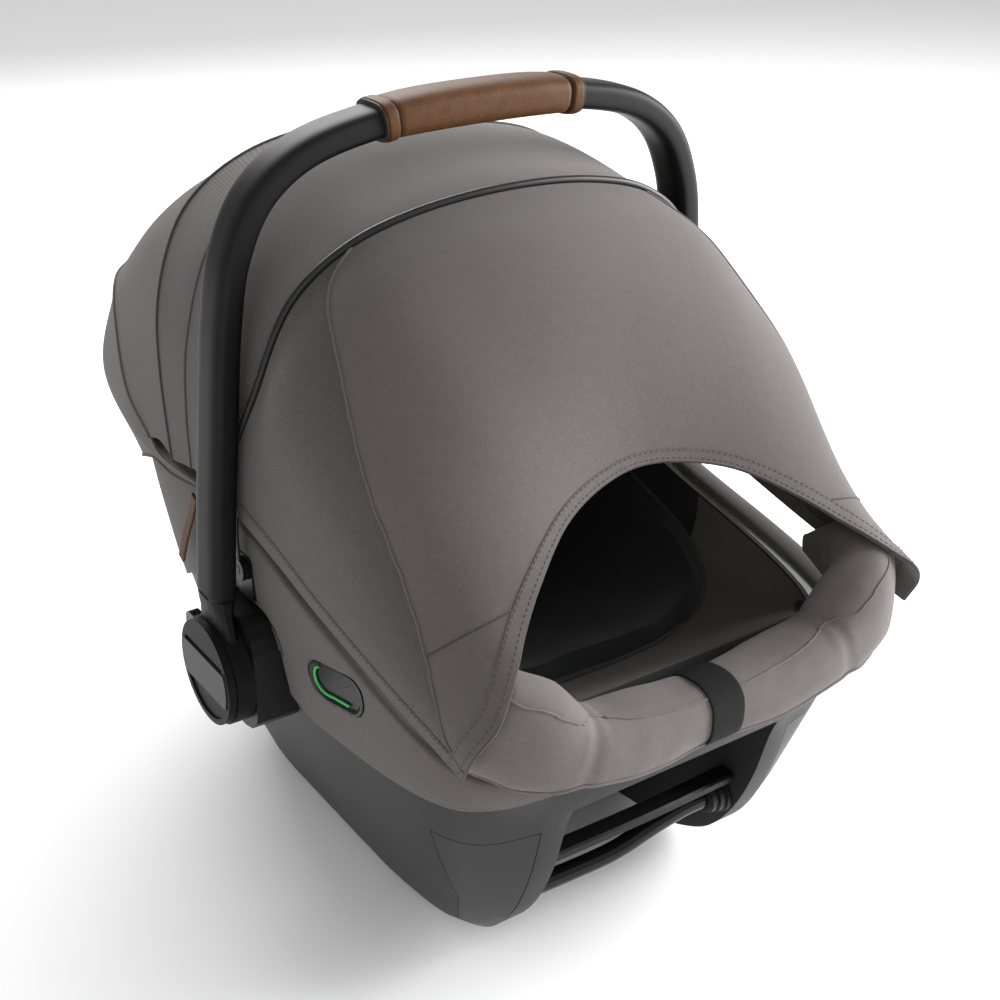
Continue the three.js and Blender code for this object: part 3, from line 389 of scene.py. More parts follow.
def patch(name, sheet, u0, u1, t0, t1, rows, cols, material, body, lift=0.0, thickness=0.0018, puff=0.0):
    """A piece of a Cloth between two u lines and two t lines. t0 and t1 may be functions of u.

    It is attached to no body when none is given."""
    u = np.linspace(u0, u1, rows)[:, None]
    low = np.vectorize(t0)(u) if callable(t0) else np.full_like(u, t0)
    top = np.vectorize(t1)(u) if callable(t1) else np.full_like(u, t1)
    across = np.linspace(0, 1, cols)[None, :]
    t = low + (top - low) * across
    swell = puff * np.sin(math.pi * across) ** 0.4 * np.ones_like(u) + lift
    grid = sheet.at(np.broadcast_to(u, t.shape), t, swell)
    item = sheet_mesh(name, grid, thickness, material, sharp=50)
    corner = grid[:-1, :-1]
    area = np.linalg.norm(np.cross(grid[1:, :-1] - corner, grid[:-1, 1:] - corner), axis=-1).sum()
    item["flat_area"] = float(area)
    if body:
        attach(item, body)
    return item


def note_area(item, layers):
    """Records the area of one side of a closed sheet, whose sides and rim add up to this many layers."""
    item["flat_area"] = float(sum(p.area for p in item.data.polygons)) / layers


def cord_of(name, path, radius, material, body, sides=10):
    """A thin round piping, fixed along its whole length. It is attached to no body when none is given."""
    path = np.asarray(path)
    along = unit(np.gradient(path, axis=0))
    across = np.cross(along, unit(path - HEART))
    item = sweep(name, path, oval(2 * radius, 2 * radius, sides), across, material)
    if body:
        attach(item, body)
    return item


def stitches(name, path, body, material, length=0.0026, gap=0.0016, radius=0.00032):
    """A row of stitches: short threads laid along a line that already lies on the cloth."""
    path = np.asarray(path)
    run = np.concatenate([[0], np.cumsum(np.linalg.norm(np.diff(path, axis=0), axis=1))])
    starts = np.arange(gap, run[-1] - length, length + gap)
    points, faces = [], []
    shape = ((0.0, 0.35), (0.25, 1.0), (0.75, 1.0), (1.0, 0.35))
    for start in starts:
        spots = [np.array([np.interp(start + length * f, run, path[:, k]) for k in range(3)]) for f, _ in shape]
        along = unit(spots[-1] - spots[0])
        out = unit(spots[0] - HEART)
        side = unit(np.cross(along, out))
        out = np.cross(side, along)
        base = len(points)
        for spot, (_, wide) in zip(spots, shape):
            for angle in (0.785, 2.356, 3.927, 5.498):
                points.append(spot + (side * math.cos(angle) + out * math.sin(angle)) * radius * wide)
        for ring in range(3):
            for k in range(4):
                n = (k + 1) % 4
                a = base + ring * 4
                faces.append((a + k, a + n, a + 4 + n, a + 4 + k))
        faces += [(base + 3, base + 2, base + 1, base), (base + 12, base + 13, base + 14, base + 15)]
    item = build(name, points, faces, material)
    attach(item, body)
    return item


# ---------------------------------------------------------------- the seat's own curves

def profile(pairs):
    """A smooth line through (y, z) pairs, read as z at any y."""
    knots = np.array(pairs, float)
    slope = np.gradient(knots[:, 1], knots[:, 0]) * 0
    for k in range(len(knots)):
        a, b = knots[max(0, k - 1)], knots[min(len(knots) - 1, k + 1)]
        slope[k] = (b[1] - a[1]) / (b[0] - a[0])

    def read(y):
        y = np.clip(y, knots[0, 0], knots[-1, 0])
        i = np.clip(np.searchsorted(knots[:, 0], y, side="right") - 1, 0, len(knots) - 2)
        h = knots[i + 1, 0] - knots[i, 0]
        t = (y - knots[i, 0]) / h
        return ((2 * t**3 - 3 * t**2 + 1) * knots[i, 1] + (t**3 - 2 * t**2 + t) * h * slope[i]
                + (3 * t**2 - 2 * t**3) * knots[i + 1, 1] + (t**3 - t**2) * h * slope[i + 1])
    return read


rim_height = profile([
    (-270, 214), (-230, 226), (-150, 244), (-60, 262), (0, 279), (80, 287), (150, 292),
    (200, 325), (250, 360), (300, 371), (343, 374),
])
keel_height = profile([
    (-270, 200), (-262, 175), (-252, 151), (-240, 110), (-222, 70), (-200, 40), (-180, 25), (-150, 12),
    (-100, 3), (-62, 0), (80, 0), (120, 6), (180, 36), (230, 76), (280, 125), (315, 185),
    (335, 260), (343, 330),
])
bucket_floor = profile([
    (-262, 208), (-245, 195), (-200, 170), (-100, 134), (0, 116), (80, 118), (160, 152), (230, 212),
    (290, 288), (325, 345), (338, 366),
])
cover_edge = profile([
    (-290, 196), (-230, 190), (-160, 176), (-90, 163), (-45, 160), (0, 176), (60, 200), (120, 190),
    (200, 150), (280, 150), (343, 172),
])
# The plan's middle, its reach to the foot and head ends, and its half width.
MIDDLE, FOOT, HEAD, HALF = 25, 295, 318, 178
# The width's share at the runners, their rounded edge's rise and inset, and how far round the ends are drawn.
RUNNER_SHARE, EDGE_RISE, EDGE_INSET, END_SHARE = 0.68, 11, 12, 0.985
# The handle's axis.
AXIS_Y, AXIS_Z = 6, 177


def plan(share, grow):
    """Y and half width of the hull's plan at a share from the foot end, -1, to the head end, 1."""
    reach, power = (FOOT, 9) if share < 0 else (HEAD, 3)
    return MIDDLE + share * (reach + grow), (HALF + grow) * (1 - abs(share) ** power) ** (1 / power)


def wall_at(wide, drawn_y, s, grow):
    """How far out and how high the hull's wall is: s runs from the runner's edge, 0, to the rim, 1."""
    top = float(rim_height(drawn_y))
    bottom = min(max(0.0, float(keel_height(drawn_y))) - grow, top - 6)
    low = wide * RUNNER_SHARE
    return low + (wide - low) * (1 - (1 - s) ** 2), bottom + EDGE_RISE + (top - bottom - EDGE_RISE) * s


def hull_point(share, s, grow):
    """A point on the hull's right side, at a share of the plan and s up its wall."""
    y, wide = plan(share, grow)
    x, z = wall_at(wide, plan(share, 0)[0], s, grow)
    return [x, y, z]


def s_at(share, z, grow):
    low, top = hull_point(share, 0, grow)[2], hull_point(share, 1, grow)[2]
    return min(max((z - low) / (top - low), 0.0), 1.0)


def hull_at(y, z, grow):
    """The right side's point at a height, for Y away from the ends."""
    share = (y - MIDDLE) / ((FOOT if y < MIDDLE else HEAD) + grow)
    return hull_point(share, s_at(share, z, grow), grow)


def hull_solid(name, grow, lift, stations=90):
    """The hull as one closed body, filled to a height above its rim, for cutting other pieces."""
    rings = []
    for k in range(stations + 1):
        share = END_SHARE * math.sin((k / stations - 0.5) * math.pi)
        half = [hull_point(share, 0, grow)]
        half[0] = [half[0][0] - EDGE_INSET, half[0][1], half[0][2] - EDGE_RISE]
        half += [hull_point(share, s, grow) for s in np.linspace(0, 1, 12)]
        half.append([half[-1][0], half[-1][1], half[-1][2] + lift])
        rings.append(half + [[-x, y, z] for x, y, z in reversed(half)])
    return rings_mesh(name, placed(rings), SHELL)


def boolean(item, cutter, operation="DIFFERENCE"):
    """Cuts item with cutter and applies the result."""
    change = item.modifiers.new("cut", "BOOLEAN")
    change.operation = operation
    change.object = cutter
    change.solver = "EXACT"
    bpy.context.view_layer.objects.active = item
    with bpy.context.temp_override(object=item, active_object=item, selected_objects=[item]):
        bpy.ops.object.modifier_apply(modifier=change.name)
    return item


def skin_of(item):
    faces = [tuple(p.vertices) for p in item.data.polygons]
    return BVHTree.FromPolygons([v.co for v in item.data.vertices], faces)


def on_skin(item, path, lift):
    """The path laid on the nearest points of a mesh."""
    skin = skin_of(item)
    laid = []
    for point in path:
        spot, normal, _, _ = skin.find_nearest(Vector(point))
        laid.append(np.array(spot) + np.array(normal) * lift)
    return np.array(laid)


def rest_on(item, solid):
    """Presses the points of a soft piece that lie inside a solid out onto its surface."""
    skin = skin_of(solid)
    for vertex in item.data.vertices:
        spot, normal, _, _ = skin.find_nearest(vertex.co)
        if (vertex.co - spot).dot(normal) < 0:
            vertex.co = spot
    item.data.update()


def keep_under(item, sheet, clearance):
    """Presses the points of a soft piece that come too near a Cloth, or through it, in under it."""
    rows, cols = sheet.grid.shape[:2]
    flat, normal = sheet.grid.reshape(-1, 3), sheet.normal.reshape(-1, 3)
    tree = kdtree.KDTree(len(flat))
    for k, point in enumerate(flat):
        tree.insert(point, k)
    tree.balance()
    for vertex in item.data.vertices:
        point = np.array(vertex.co)
        k = tree.find(vertex.co)[1]
        gap = float(np.dot(point - flat[k], normal[k]))
        if k // cols < rows - 1 and 0 < k % cols < cols - 1 and gap > -clearance:
            vertex.co = point - normal[k] * (gap + clearance)
    item.data.update()


def discard(item):
    bpy.data.objects.remove(item, do_unlink=True)


def finish_cad(name, material, bevel=0.0, angle=35, segments=2):
    """A CAD node kept as it is: its real material, rounded edges and smooth shading."""
    item = nodes[name]
    item.data.materials.clear()
    item.data.materials.append(material)
    item.data.polygons.foreach_set("use_smooth", [True] * len(item.data.polygons))
    item.data.set_sharp_from_angle(angle=math.radians(angle))
    if bevel:
        edge = item.modifiers.new("edges", "BEVEL")
        edge.width = bevel
        edge.segments = segments
        edge.limit_method = "ANGLE"
        edge.angle_limit = math.radians(angle)
        edge.harden_normals = True
    return item


def plate_x(name, outline, x0, x1):
    """A flat outline of (y, z) in drawn millimetres, extruded along X."""
    ring = [[x0, y, z] for y, z in outline]
    other = [[x1, y, z] for y, z in outline]
    return rings_mesh(name, placed([ring, other]), BLACK, sharp=40)


def rounded_rect(y0, y1, z0, z1, radius, steps=8):
    corners = ((y1, z1, 0), (y0, z1, 1), (y0, z0, 2), (y1, z0, 3))
    points = []
    for y, z, quarter in corners:
        cy, cz = y + (-radius if y == y1 else radius), z + (-radius if z == z1 else radius)
        for k in range(steps + 1):
            angle = (quarter + k / steps) * math.pi / 2
            points.append((cy + radius * math.cos(angle), cz + radius * math.sin(angle)))
    return points


def loop_outline(count):
    """Share and width fraction round the seat's plan, from the foot end's middle by the right side and back."""
    angle = np.linspace(0, math.pi / 2, 400)
    foot = np.stack([-np.cos(angle) ** (2 / 9), np.sin(angle) ** (2 / 9)], -1)
    head = np.stack([np.cos(angle) ** (2 / 3), np.sin(angle) ** (2 / 3)], -1)[::-1]
    right = np.concatenate([foot, head[1:]])
    right[:, 0] = np.clip(right[:, 0], -END_SHARE, END_SHARE)
    span = right * [306, HALF]
    run = np.concatenate([[0], np.cumsum(np.linalg.norm(np.diff(span, axis=0), axis=1))])
    at = np.linspace(0, run[-1], count // 2 + 1)
    half = np.stack([np.interp(at, run, right[:, k]) for k in range(2)], -1)
    return np.concatenate([half, half[-2:0:-1] * [1, -1]])


def loop_point(share, fraction, s, grow, inset=0.0, rise=0.0):
    """A point of the hull at a place of the loop, with a step inwards and upwards from it."""
    wide = (HALF + grow - inset) * abs(fraction)
    reach = FOOT if share < 0 else HEAD
    x, z = wall_at(wide, MIDDLE + share * reach, s, grow)
    return [math.copysign(x, fraction), MIDDLE + share * (reach + grow - inset), z + rise]


# ---------------------------------------------------------------- shell and undercarriage

# The shell with its two rocker legs is one grey moulding: its hull, less the bucket and the tunnel between the
# legs. A thin corner cover is let into each leg, darker than the shell partly as painted shade on the leg's
# shaded front, and the cross members are gloss and satin black nylon.
ROOF = ((140, 26), (108, 60), (-120, 88), (-205, 138), (-250, 166), (-370, 170))
TUNNEL_HALF, PANEL_INSIDE = 88, 107


def tunnel_plate(name, by):
    """The space between the legs, with its roof and back raised and its sides spread by some millimetres."""
    roof = [(ROOF[0][0] + by, ROOF[0][1] + by), ROOF[1]] + [(y, z + by) for y, z in ROOF[2:]]
    roof[1] = (roof[1][0], roof[1][1] + by)
    outline = [(-370, -20), (ROOF[0][0] + by, -20)] + roof
    return plate_x(name, outline, -TUNNEL_HALF - by, TUNNEL_HALF + by)


def panel_plate(name, sign, by):
    """The corner that a leg's cover takes up, spread by some millimetres."""
    outline = [(-370, 151 + by), (-370, 20), (-166 + by, 20), (-196 + by, 74), (-208 + by, 151 + by)]
    return plate_x(name, outline, sign * (PANEL_INSIDE - by), sign * 300)


shell = hull_solid("outer_shell_fine", 0, 0, 180)
hollow = hull_solid("cut_hollow", -4, 260, 120)
walls, tunnel = tunnel_plate("cut_walls", 4), tunnel_plate("cut_tunnel", 0)
boolean(hollow, walls)
boolean(shell, hollow)
boolean(shell, tunnel)
socket = hull_solid("cut_socket", -2.75, 260, 120)
under_panel = hull_solid("cut_under_panel", -2.4, 260, 120)
for side, sign in SIDES:
    pocket = panel_plate("cut_pocket", sign, 0.6)
    boolean(pocket, socket)
    boolean(shell, pocket)
    panel = hull_solid(f"leg_panel_{side}_fine", 0, 0, 180)
    zone = panel_plate("cut_zone", sign, 0)
    boolean(panel, zone, "INTERSECT")
    boolean(panel, under_panel)
    panel.data.materials.clear()
    # The leg cover's darker colour is partly painted shade.
    panel.data.materials.append(LEG_COVER_PAINTED_SHADE)
    panel.data.set_sharp_from_angle(angle=math.radians(38))
    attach(panel, "seat")
    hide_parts(f"leg_panel_{side}")
    discard(pocket)
    discard(zone)
for cutter in (hollow, walls, tunnel, socket, under_panel):
    discard(cutter)
shell.data.set_sharp_from_angle(angle=math.radians(38))
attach(shell, "seat")
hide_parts("outer_shell")
finish_cad("foam_bowl", FOAM, 0, 40)
finish_cad("cross_bar", BLACK, 0.0012)
finish_cad("tube_bush", BLACK, 0.0005)
finish_cad("release_lever", BLACK, 0.001)
finish_cad("lever_pin", STEEL, 0.0004)
for side, _ in SIDES:
    finish_cad(f"lever_ear_{side}", BLACK, 0.001)

# The lower cross tube is one polished bent tube.
tube_line = [(-87.7, -199, 58), (-74, -199, 58), (-48, -200, 58), (-9, -204, 62), (25, -206, 71),
             (53, -206, 75), (70.3, -206, 75)]
cross_tube = sweep("cross_tube_fine", placed(spaced(tube_line, 80)), oval(0.014, 0.014, 28), (0, 1, 0), GLOSS,
                   sharp=50)
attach(cross_tube, "seat")
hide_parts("cross_tube")

# ---------------------------------------------------------------- seat cover

# The taupe cover is drawn tight over the upper half of the shell, rolls over the rim and stops at the liner.
# It is cut away round the handle's hubs, the canopy's mounts and the belt guides, with a piped edge.
COVER_GROW = 3.35
loop = loop_outline(320)
loop = np.concatenate([loop, loop[:1]])
over_rim = [(0.6, 1.7), (2.0, 2.9), (4.2, 3.5), (8.5, 3.8), (13.5, 3.5), (17.3, 2.4), (18.6, 0.2), (19.0, -3.0)]
WALL_ROWS = 26
rows = []
for step in np.linspace(0, 1, WALL_ROWS):
    row = []
    for share, fraction in loop:
        drawn_y = MIDDLE + share * (FOOT if share < 0 else HEAD)
        start = s_at(share, float(cover_edge(drawn_y)), COVER_GROW)
        row.append(loop_point(share, fraction, start + (1 - start) * step, COVER_GROW))
    rows.append(row)
for inset, rise in over_rim:
    rows.append([loop_point(share, fraction, 1, COVER_GROW, inset, rise) for share, fraction in loop])
cover_grid = placed(rows)
wall = cover_grid[:WALL_ROWS]
cover_grid[:WALL_ROWS] += outward(wall) * ripples(wall, 0.06, 0.0006, 4.0)[..., None]
seat_cover = sheet_mesh("seat_cover_cloth", cover_grid, 0.0022, TAUPE_SEAT, sharp=60)
BOSS = (AXIS_Y - 38, AXIS_Y + 40, AXIS_Z - 44, AXIS_Z + 46)
CUT = 230
boss_hole = rounded_rect(BOSS[0] - 1.4, BOSS[1] + 1.4, BOSS[2] - 1.4, BOSS[3] + 1.4, 22)
mount_hole = rounded_rect(-5.2, 21.2, 225, 262, 5)
cutters = [plate_x("cut_boss", boss_hole, -CUT, CUT), plate_x("cut_mount", mount_hole, -CUT, CUT)]
guide_outline = [(-150, 211), (-100, 197), (-84, 198), (-79, 213), (-90, 224), (-146, 239), (-158, 235),
                 (-159, 222)]
GUIDE_MIDDLE, GUIDE_HALF = (-118, 219), (39, 19)


def rounded_outline(outline, radius, steps=7):
    """The outline with its corners rounded."""
    corners = np.array(outline, float)
    points = []
    for k, corner in enumerate(corners):
        a = unit(corners[k - 1] - corner)
        b = unit(corners[(k + 1) % len(corners)] - corner)
        for t in np.linspace(0, 1, steps):
            start, end = corner + a * radius, corner + b * radius
            points.append(tuple((1 - t) ** 2 * start + 2 * t * (1 - t) * corner + t * t * end))
    return points


def grown(outline, by):
    """The guide's outline, scaled about its middle so that its edge moves out by some millimetres."""
    (my, mz), (hy, hz) = GUIDE_MIDDLE, GUIDE_HALF
    return [(y + (y - my) / hy * by, z + (z - mz) / hz * by) for y, z in outline]


cutters.append(plate_x("cut_guide", rounded_outline(grown(guide_outline, 0.4), 5), -CUT, CUT))
for cutter in cutters:
    boolean(seat_cover, cutter)
    discard(cutter)
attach(seat_cover, "seat")
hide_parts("seat_cover")
note_area(seat_cover, 2.1)

# The cover's underside closes it below the head end, from one side's edge to the other.
under_rows = []
for share in np.linspace(0.811, END_SHARE, 24):
    low, y, over = hull_point(share, 0, COVER_GROW)
    bottom = over - EDGE_RISE
    half = [(low + 0.3, over + 3), (low, over), (low - 3.6, bottom + 3.4), (low - EDGE_INSET, bottom)]
    half += [(x, bottom) for x in np.linspace(low - EDGE_INSET, 0, 9)[1:]]
    under_rows.append([(x, y, z) for x, z in half] + [(-x, y, z) for x, z in half[-2::-1]])
under_rows.append([(x, y + 1, max(z, over)) for x, y, z in under_rows[-1]])
cover_under = sheet_mesh("seat_cover_underside", placed(under_rows), 0.0018, TAUPE_SEAT, sharp=60)
note_area(cover_under, 2.05)
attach(cover_under, "seat")


def on_hull(outline, grow):
    """The right side's points under a closed (y, z) outline."""
    return placed([hull_at(y, z, grow) for y, z in outline])


# Two pipings follow the cover's edge in front of each hub, from the cover's lower edge up to the mount.
HUB_GAP, PIPING_TOP = 2.2, 219
for side, sign in SIDES:
    for number, step in enumerate((0.0, 3.4)):
        gap = HUB_GAP + step
        ring = rounded_rect(BOSS[0] - gap, BOSS[1] + gap, BOSS[2] - gap, BOSS[3] + HUB_GAP, 23 + step, 14)
        ring = [(y, z) for y, z in ring if y < BOSS[0] + 24 and cover_edge(y) + 1 < z < PIPING_TOP]
        path = on_hull(ring, COVER_GROW + 0.5) * [sign, 1, 1]
        cord_of(f"hub_edge_piping_{side}_{number}", path, 0.0009, TAUPE_DARK, "seat")

# ---------------------------------------------------------------- belt guides

# Each belt guide is a shallow black nylon tray let into the cover, dished towards its middle.
# A thin green line runs along its back and bottom edge.
guide_line_points = [(0, -96, 221.5), (0, -91, 217.5), (0, -88.5, 212), (0, -89.5, 206.5), (0, -94, 203.5),
                     (0, -101, 203), (0, -118, 207.5), (0, -136, 212)]
for side, sign in SIDES:
    outline = np.array(rounded_outline(guide_outline, 7, 9))
    middle = outline.mean(axis=0)
    dish = []
    for share in np.linspace(0.02, 1, 26):
        ring = middle + (outline - middle) * share
        dish.append([hull_at(y, z, 1.6 + 2.5 * min(1.0, max(0.0, (share - 0.80) / 0.12))) for y, z in ring])
    dish = np.array(dish)
    dish = np.concatenate([dish, dish[:, :1]], axis=1)
    tray = sheet_mesh(f"belt_guide_{side}_tray", placed(dish) * [sign, 1, 1], 0.0010, BLACK, sharp=40)
    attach(tray, "seat")
    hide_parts(f"belt_guide_{side}")
    path = placed([hull_at(y, z, 2.9) for _, y, z in spaced(guide_line_points, 60)]) * [sign, 1, 1]
    guide_line = cord_of(f"guide_line_{side}", path, 0.0010, GREEN, "seat")
    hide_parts(f"guide_stripe_{side}")

# ---------------------------------------------------------------- canopy curves

# Hoops of the canopy and the drape, each drawn from the left to the middle and mirrored.
# The drape is drawn before the cushion, because the cushion is pressed in under it.
front_curve = arch([(-188.5, 10, 300), (-186, 0, 340), (-178, -26, 392), (-157, -47, 458), (-120, -54, 488),
                    (-70, -57, 503), (0, -59, 509)])
mid_curve = arch([(-187, 107, 298), (-186.5, 112, 330), (-185, 118, 365), (-180.5, 124, 405),
                  (-169.5, 129, 440), (-152, 134, 470), (-129, 137, 490), (-98, 139, 505),
                  (-61, 140, 514), (0, 141, 518)])
back_curve = arch([(-187, 150, 300), (-184, 195, 322), (-175, 228, 362), (-162, 258, 384), (-138, 296, 388),
                   (-90, 332, 386), (0, 345, 384)])
bulge_curve = arch([(-187.3, 135, 292), (-184, 200, 296), (-174, 262, 303), (-163, 302, 306), (-140, 328, 306),
                    (-90, 342, 304), (0, 346, 303)])
skirt_curve = arch([(-187.5, 44, 296), (-187.3, 76, 289), (-186.5, 114, 283), (-184, 150, 281),
                    (-173, 199, 262), (-152, 258, 235), (-110, 306, 216), (0, 335, 207)])
back_bulge = arch([(-187.3, 128, 305), (-185, 152, 340), (-177, 176, 390), (-158, 196, 436), (-120, 222, 455),
                   (-60, 244, 462), (0, 250, 464)])
top_bulge = arch([(-187, 62, 305), (-187, 58, 350), (-182, 52, 405), (-160, 44, 470), (-110, 44, 508),
                  (-60, 44, 522), (0, 44, 527)])
drape_high = arch([(-187, -58, 285), (-188, -64, 340), (-183, -74, 400), (-164, -88, 440), (-130, -100, 468),
                   (-75, -108, 484), (0, -112, 490)])
drape_low = arch([(-186, -140, 266), (-187, -150, 300), (-182, -160, 350), (-164, -172, 384), (-120, -178, 410),
                  (-60, -176, 424), (0, -174, 428)])
hem_curve = arch([(-183, -276, 241), (-181, -287, 262), (-169, -292, 279), (-158, -286, 288), (-142, -273, 301),
                  (-127, -259, 312), (-107, -244, 327), (-70, -221, 349), (-35, -208, 359), (0, -203, 363)])
drape_cloth = Cloth([front_curve, drape_high, drape_low, hem_curve], rows=170, ripple=0.0012, seed=8.0)

# ---------------------------------------------------------------- foot cushion

# A U-shaped stuffed roll over the foot end: crowned, tapered at its ends and pinched where the webbing crosses
# it, with a seam over each shoulder and piping along its top and bottom edges.
CUSHION_STATIONS, TAPER = 241, 36
cushion_path = spaced(both_sides([(-164, -196, 256), (-162, -240, 262), (-146, -268, 258), (-108, -277, 235),
                                  (-50, -278, 226), (0, -278, 225)]), CUSHION_STATIONS)
cushion_high = np.array([26, 37, 35, 24, 24, 24.0])
share = np.linspace(0, 1, CUSHION_STATIONS)
place = (1 - np.abs(2 * share - 1)) * 5
half_high = np.interp(place, np.arange(6), cushion_high)
slim = 0.55 + 0.45 * np.minimum(1, place)
sections = []
for k, (x, y, z) in enumerate(cushion_path):
    pinch = 1 - 0.07 * math.exp(-(x / 24) ** 2)
    seam = 1 - 0.05 * math.exp(-((abs(x) - 104) / 4.5) ** 2)
    fat = pinch * seam
    end = 0.3 + 0.7 * math.sin(min(1.0, min(k, CUSHION_STATIONS - 1 - k) / TAPER) * math.pi / 2)
    sections.append(oval(2 * half_high[k] * fat * end * 0.001, 48 * slim[k] * fat * end * 0.001, 64, 2.7))
foot_cushion = sweep("foot_cushion_roll", placed(cushion_path), np.array(sections), (0, 0, 1), CUSHION)
cushion_data = foot_cushion.data
coords = np.array([v.co for v in cushion_data.vertices])
normals = np.array([v.normal for v in cushion_data.vertices])
swell = ripples(coords, 0.05, 0.0024, 7.0) + ripples(coords, 0.018, 0.0005, 9.0)
cushion_data.vertices.foreach_set("co", (coords + normals * (swell - 0.0012)[:, None]).ravel())
hull_rest = hull_solid("hull_under_cushion", 4.2, 4.2)
rest_on(foot_cushion, hull_rest)
discard(hull_rest)
keep_under(foot_cushion, drape_cloth, clearance=0.0042)
foot_cushion.data.set_sharp_from_angle(angle=math.radians(60))
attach(foot_cushion, "seat")
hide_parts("foot_cushion")

top_seam = both_sides([(-160, -262, 298), (-152, -294, 289), (-138, -291, 279), (-125, -286, 266.5),
                       (-114, -284, 255), (-102, -283, 248), (-87, -285, 244), (-67, -291, 246),
                       (-43, -293, 244), (-23, -296, 245), (0, -297, 245)])
low_seam = both_sides([(-176, -250, 214), (-166, -276, 212), (-149.5, -292, 212), (-132, -297, 213),
                       (-116.5, -302, 214), (-74, -302, 208), (-36, -299, 203), (0, -300, 202)])
for name, seam, lift, radius in (("cushion_top_seam", top_seam, 0.0001, 0.0008),
                                 ("cushion_low_piping", low_seam, 0.0003, 0.0014)):
    cord_of(name, on_skin(foot_cushion, placed(spaced(seam, 160)), lift), radius, CUSHION, "seat")

# The webbing loop goes over the middle of the cushion and under the foot end.
loop_line = [(0, -254, 246), (0, -262, 253), (0, -276, 255), (0, -296, 254), (0, -306, 242), (0, -308, 226),
             (0, -306, 208), (0, -297, 197), (0, -284, 193)]
loop_path = on_skin(foot_cushion, placed(spaced(loop_line, 60)), 0.0013)
for _ in range(6):
    loop_path[1:-1] = (loop_path[:-2] + loop_path[1:-1] + loop_path[2:]) / 3
foot_webbing = sweep("foot_webbing_loop", loop_path, oval(0.026, 0.0018, 28, 7.0), (1, 0, 0),
                     WEBBING, sharp=50)
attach(foot_webbing, "seat")
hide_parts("foot_webbing")

# ---------------------------------------------------------------- liner, insert, head pad, harness

# A black knitted liner covers the whole bucket, with a taupe lining over its foot end. In it lie a charcoal
# padded insert with piping round its edge, a head pad and the harness: woven webbing with two padded sleeves.


def soften(item, width):
    """Rounds the edges of a stuffed pad."""
    edge = item.modifiers.new("round", "BEVEL")
    edge.width = width
    edge.segments = 4
    edge.angle_limit = math.radians(50)


def bowl_grid(shrink, y_from, y_to, lift, stations=70, turns=48):
    """Rows across the bucket between two Y stations, from left rim to right rim."""
    grid = []
    for y in np.linspace(y_from, y_to, stations):
        reach = (FOOT if y < MIDDLE else HEAD) - shrink
        at_share = max(-END_SHARE, min(END_SHARE, (y - MIDDLE) / reach))
        _, wide = plan(at_share, -shrink)
        drawn_y, _ = plan(at_share, 0)
        top = float(rim_height(drawn_y))
        bottom = min(float(bucket_floor(drawn_y)) + shrink, top - 1)
        limit = math.acos(max(0.0, min(1.0, (-lift) / (top - bottom))) ** 1.25) if lift < 0 else math.pi / 2
        row = []
        for a in np.linspace(-limit, limit, turns + 1):
            c = max(math.cos(a), 0.0) ** 0.8
            x = math.copysign(wide * abs(math.sin(a)) ** 0.85, a)
            row.append([x, y, top - (top - bottom) * c + (max(lift, 0) if abs(a) >= limit - 1e-6 else 0)])
        grid.append(row)
    return placed(grid)


lining = sheet_mesh("foot_end_lining", bowl_grid(23.4, -240, -92, 1.5, 60, 64), 0.0016, TAUPE_SEAT, sharp=60)
note_area(lining, 2.05)
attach(lining, "seat")
liner = sheet_mesh("seat_liner_cloth", bowl_grid(21.2, -238, 318, 3.0), 0.0034, BLACK_CLOTH, sharp=60)
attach(liner, "seat")
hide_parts("seat_liner")

# The insert's front is rounded by drawing its first rows in. Its seams follow its grid's rows and columns.
TURNS, FRONT_ROWS, HEAD_ROW, INNER = 48, 16, 45, 5
insert_grid = bowl_grid(26.5, -158, 262, -30.0)
turn = np.arange(TURNS + 1)
for row in range(FRONT_ROWS):
    narrow = 0.35 + 0.65 * math.sqrt(1 - (1 - row / FRONT_ROWS) ** 2)
    at = TURNS / 2 + (turn - TURNS / 2) * narrow
    insert_grid[row] = np.stack([np.interp(at, turn, insert_grid[row, :, k]) for k in range(3)], -1)
insert_grid += outward(insert_grid) * ripples(insert_grid, 0.05, 0.003, 12.0)[..., None]
insert = sheet_mesh("infant_insert_pad", insert_grid, 0.017, CHARCOAL, sharp=60)
soften(insert, 0.006)
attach(insert, "seat")
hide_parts("infant_insert")
edge_line = np.concatenate([insert_grid[HEAD_ROW:0:-1, 0], insert_grid[0], insert_grid[1:HEAD_ROW, -1]])
cord_of("insert_edge_piping", spaced(edge_line[::3], 260), 0.0021, CHARCOAL_PIPING, "seat")
inner_line = np.concatenate([insert_grid[HEAD_ROW:2:-1, INNER], insert_grid[2, INNER + 1:TURNS - INNER],
                             insert_grid[3:HEAD_ROW, -INNER - 1]])
cord_of("insert_inner_seam", spaced(inner_line[::3], 240), 0.0009, CHARCOAL_PIPING, "seat")

head_grid = bowl_grid(47.0, 132, 250, -24.0, 50, 48)
head_pad = sheet_mesh("head_pad_cushion", head_grid, 0.019, CHARCOAL, sharp=60)
soften(head_pad, 0.007)
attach(head_pad, "seat")
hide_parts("head_pad")

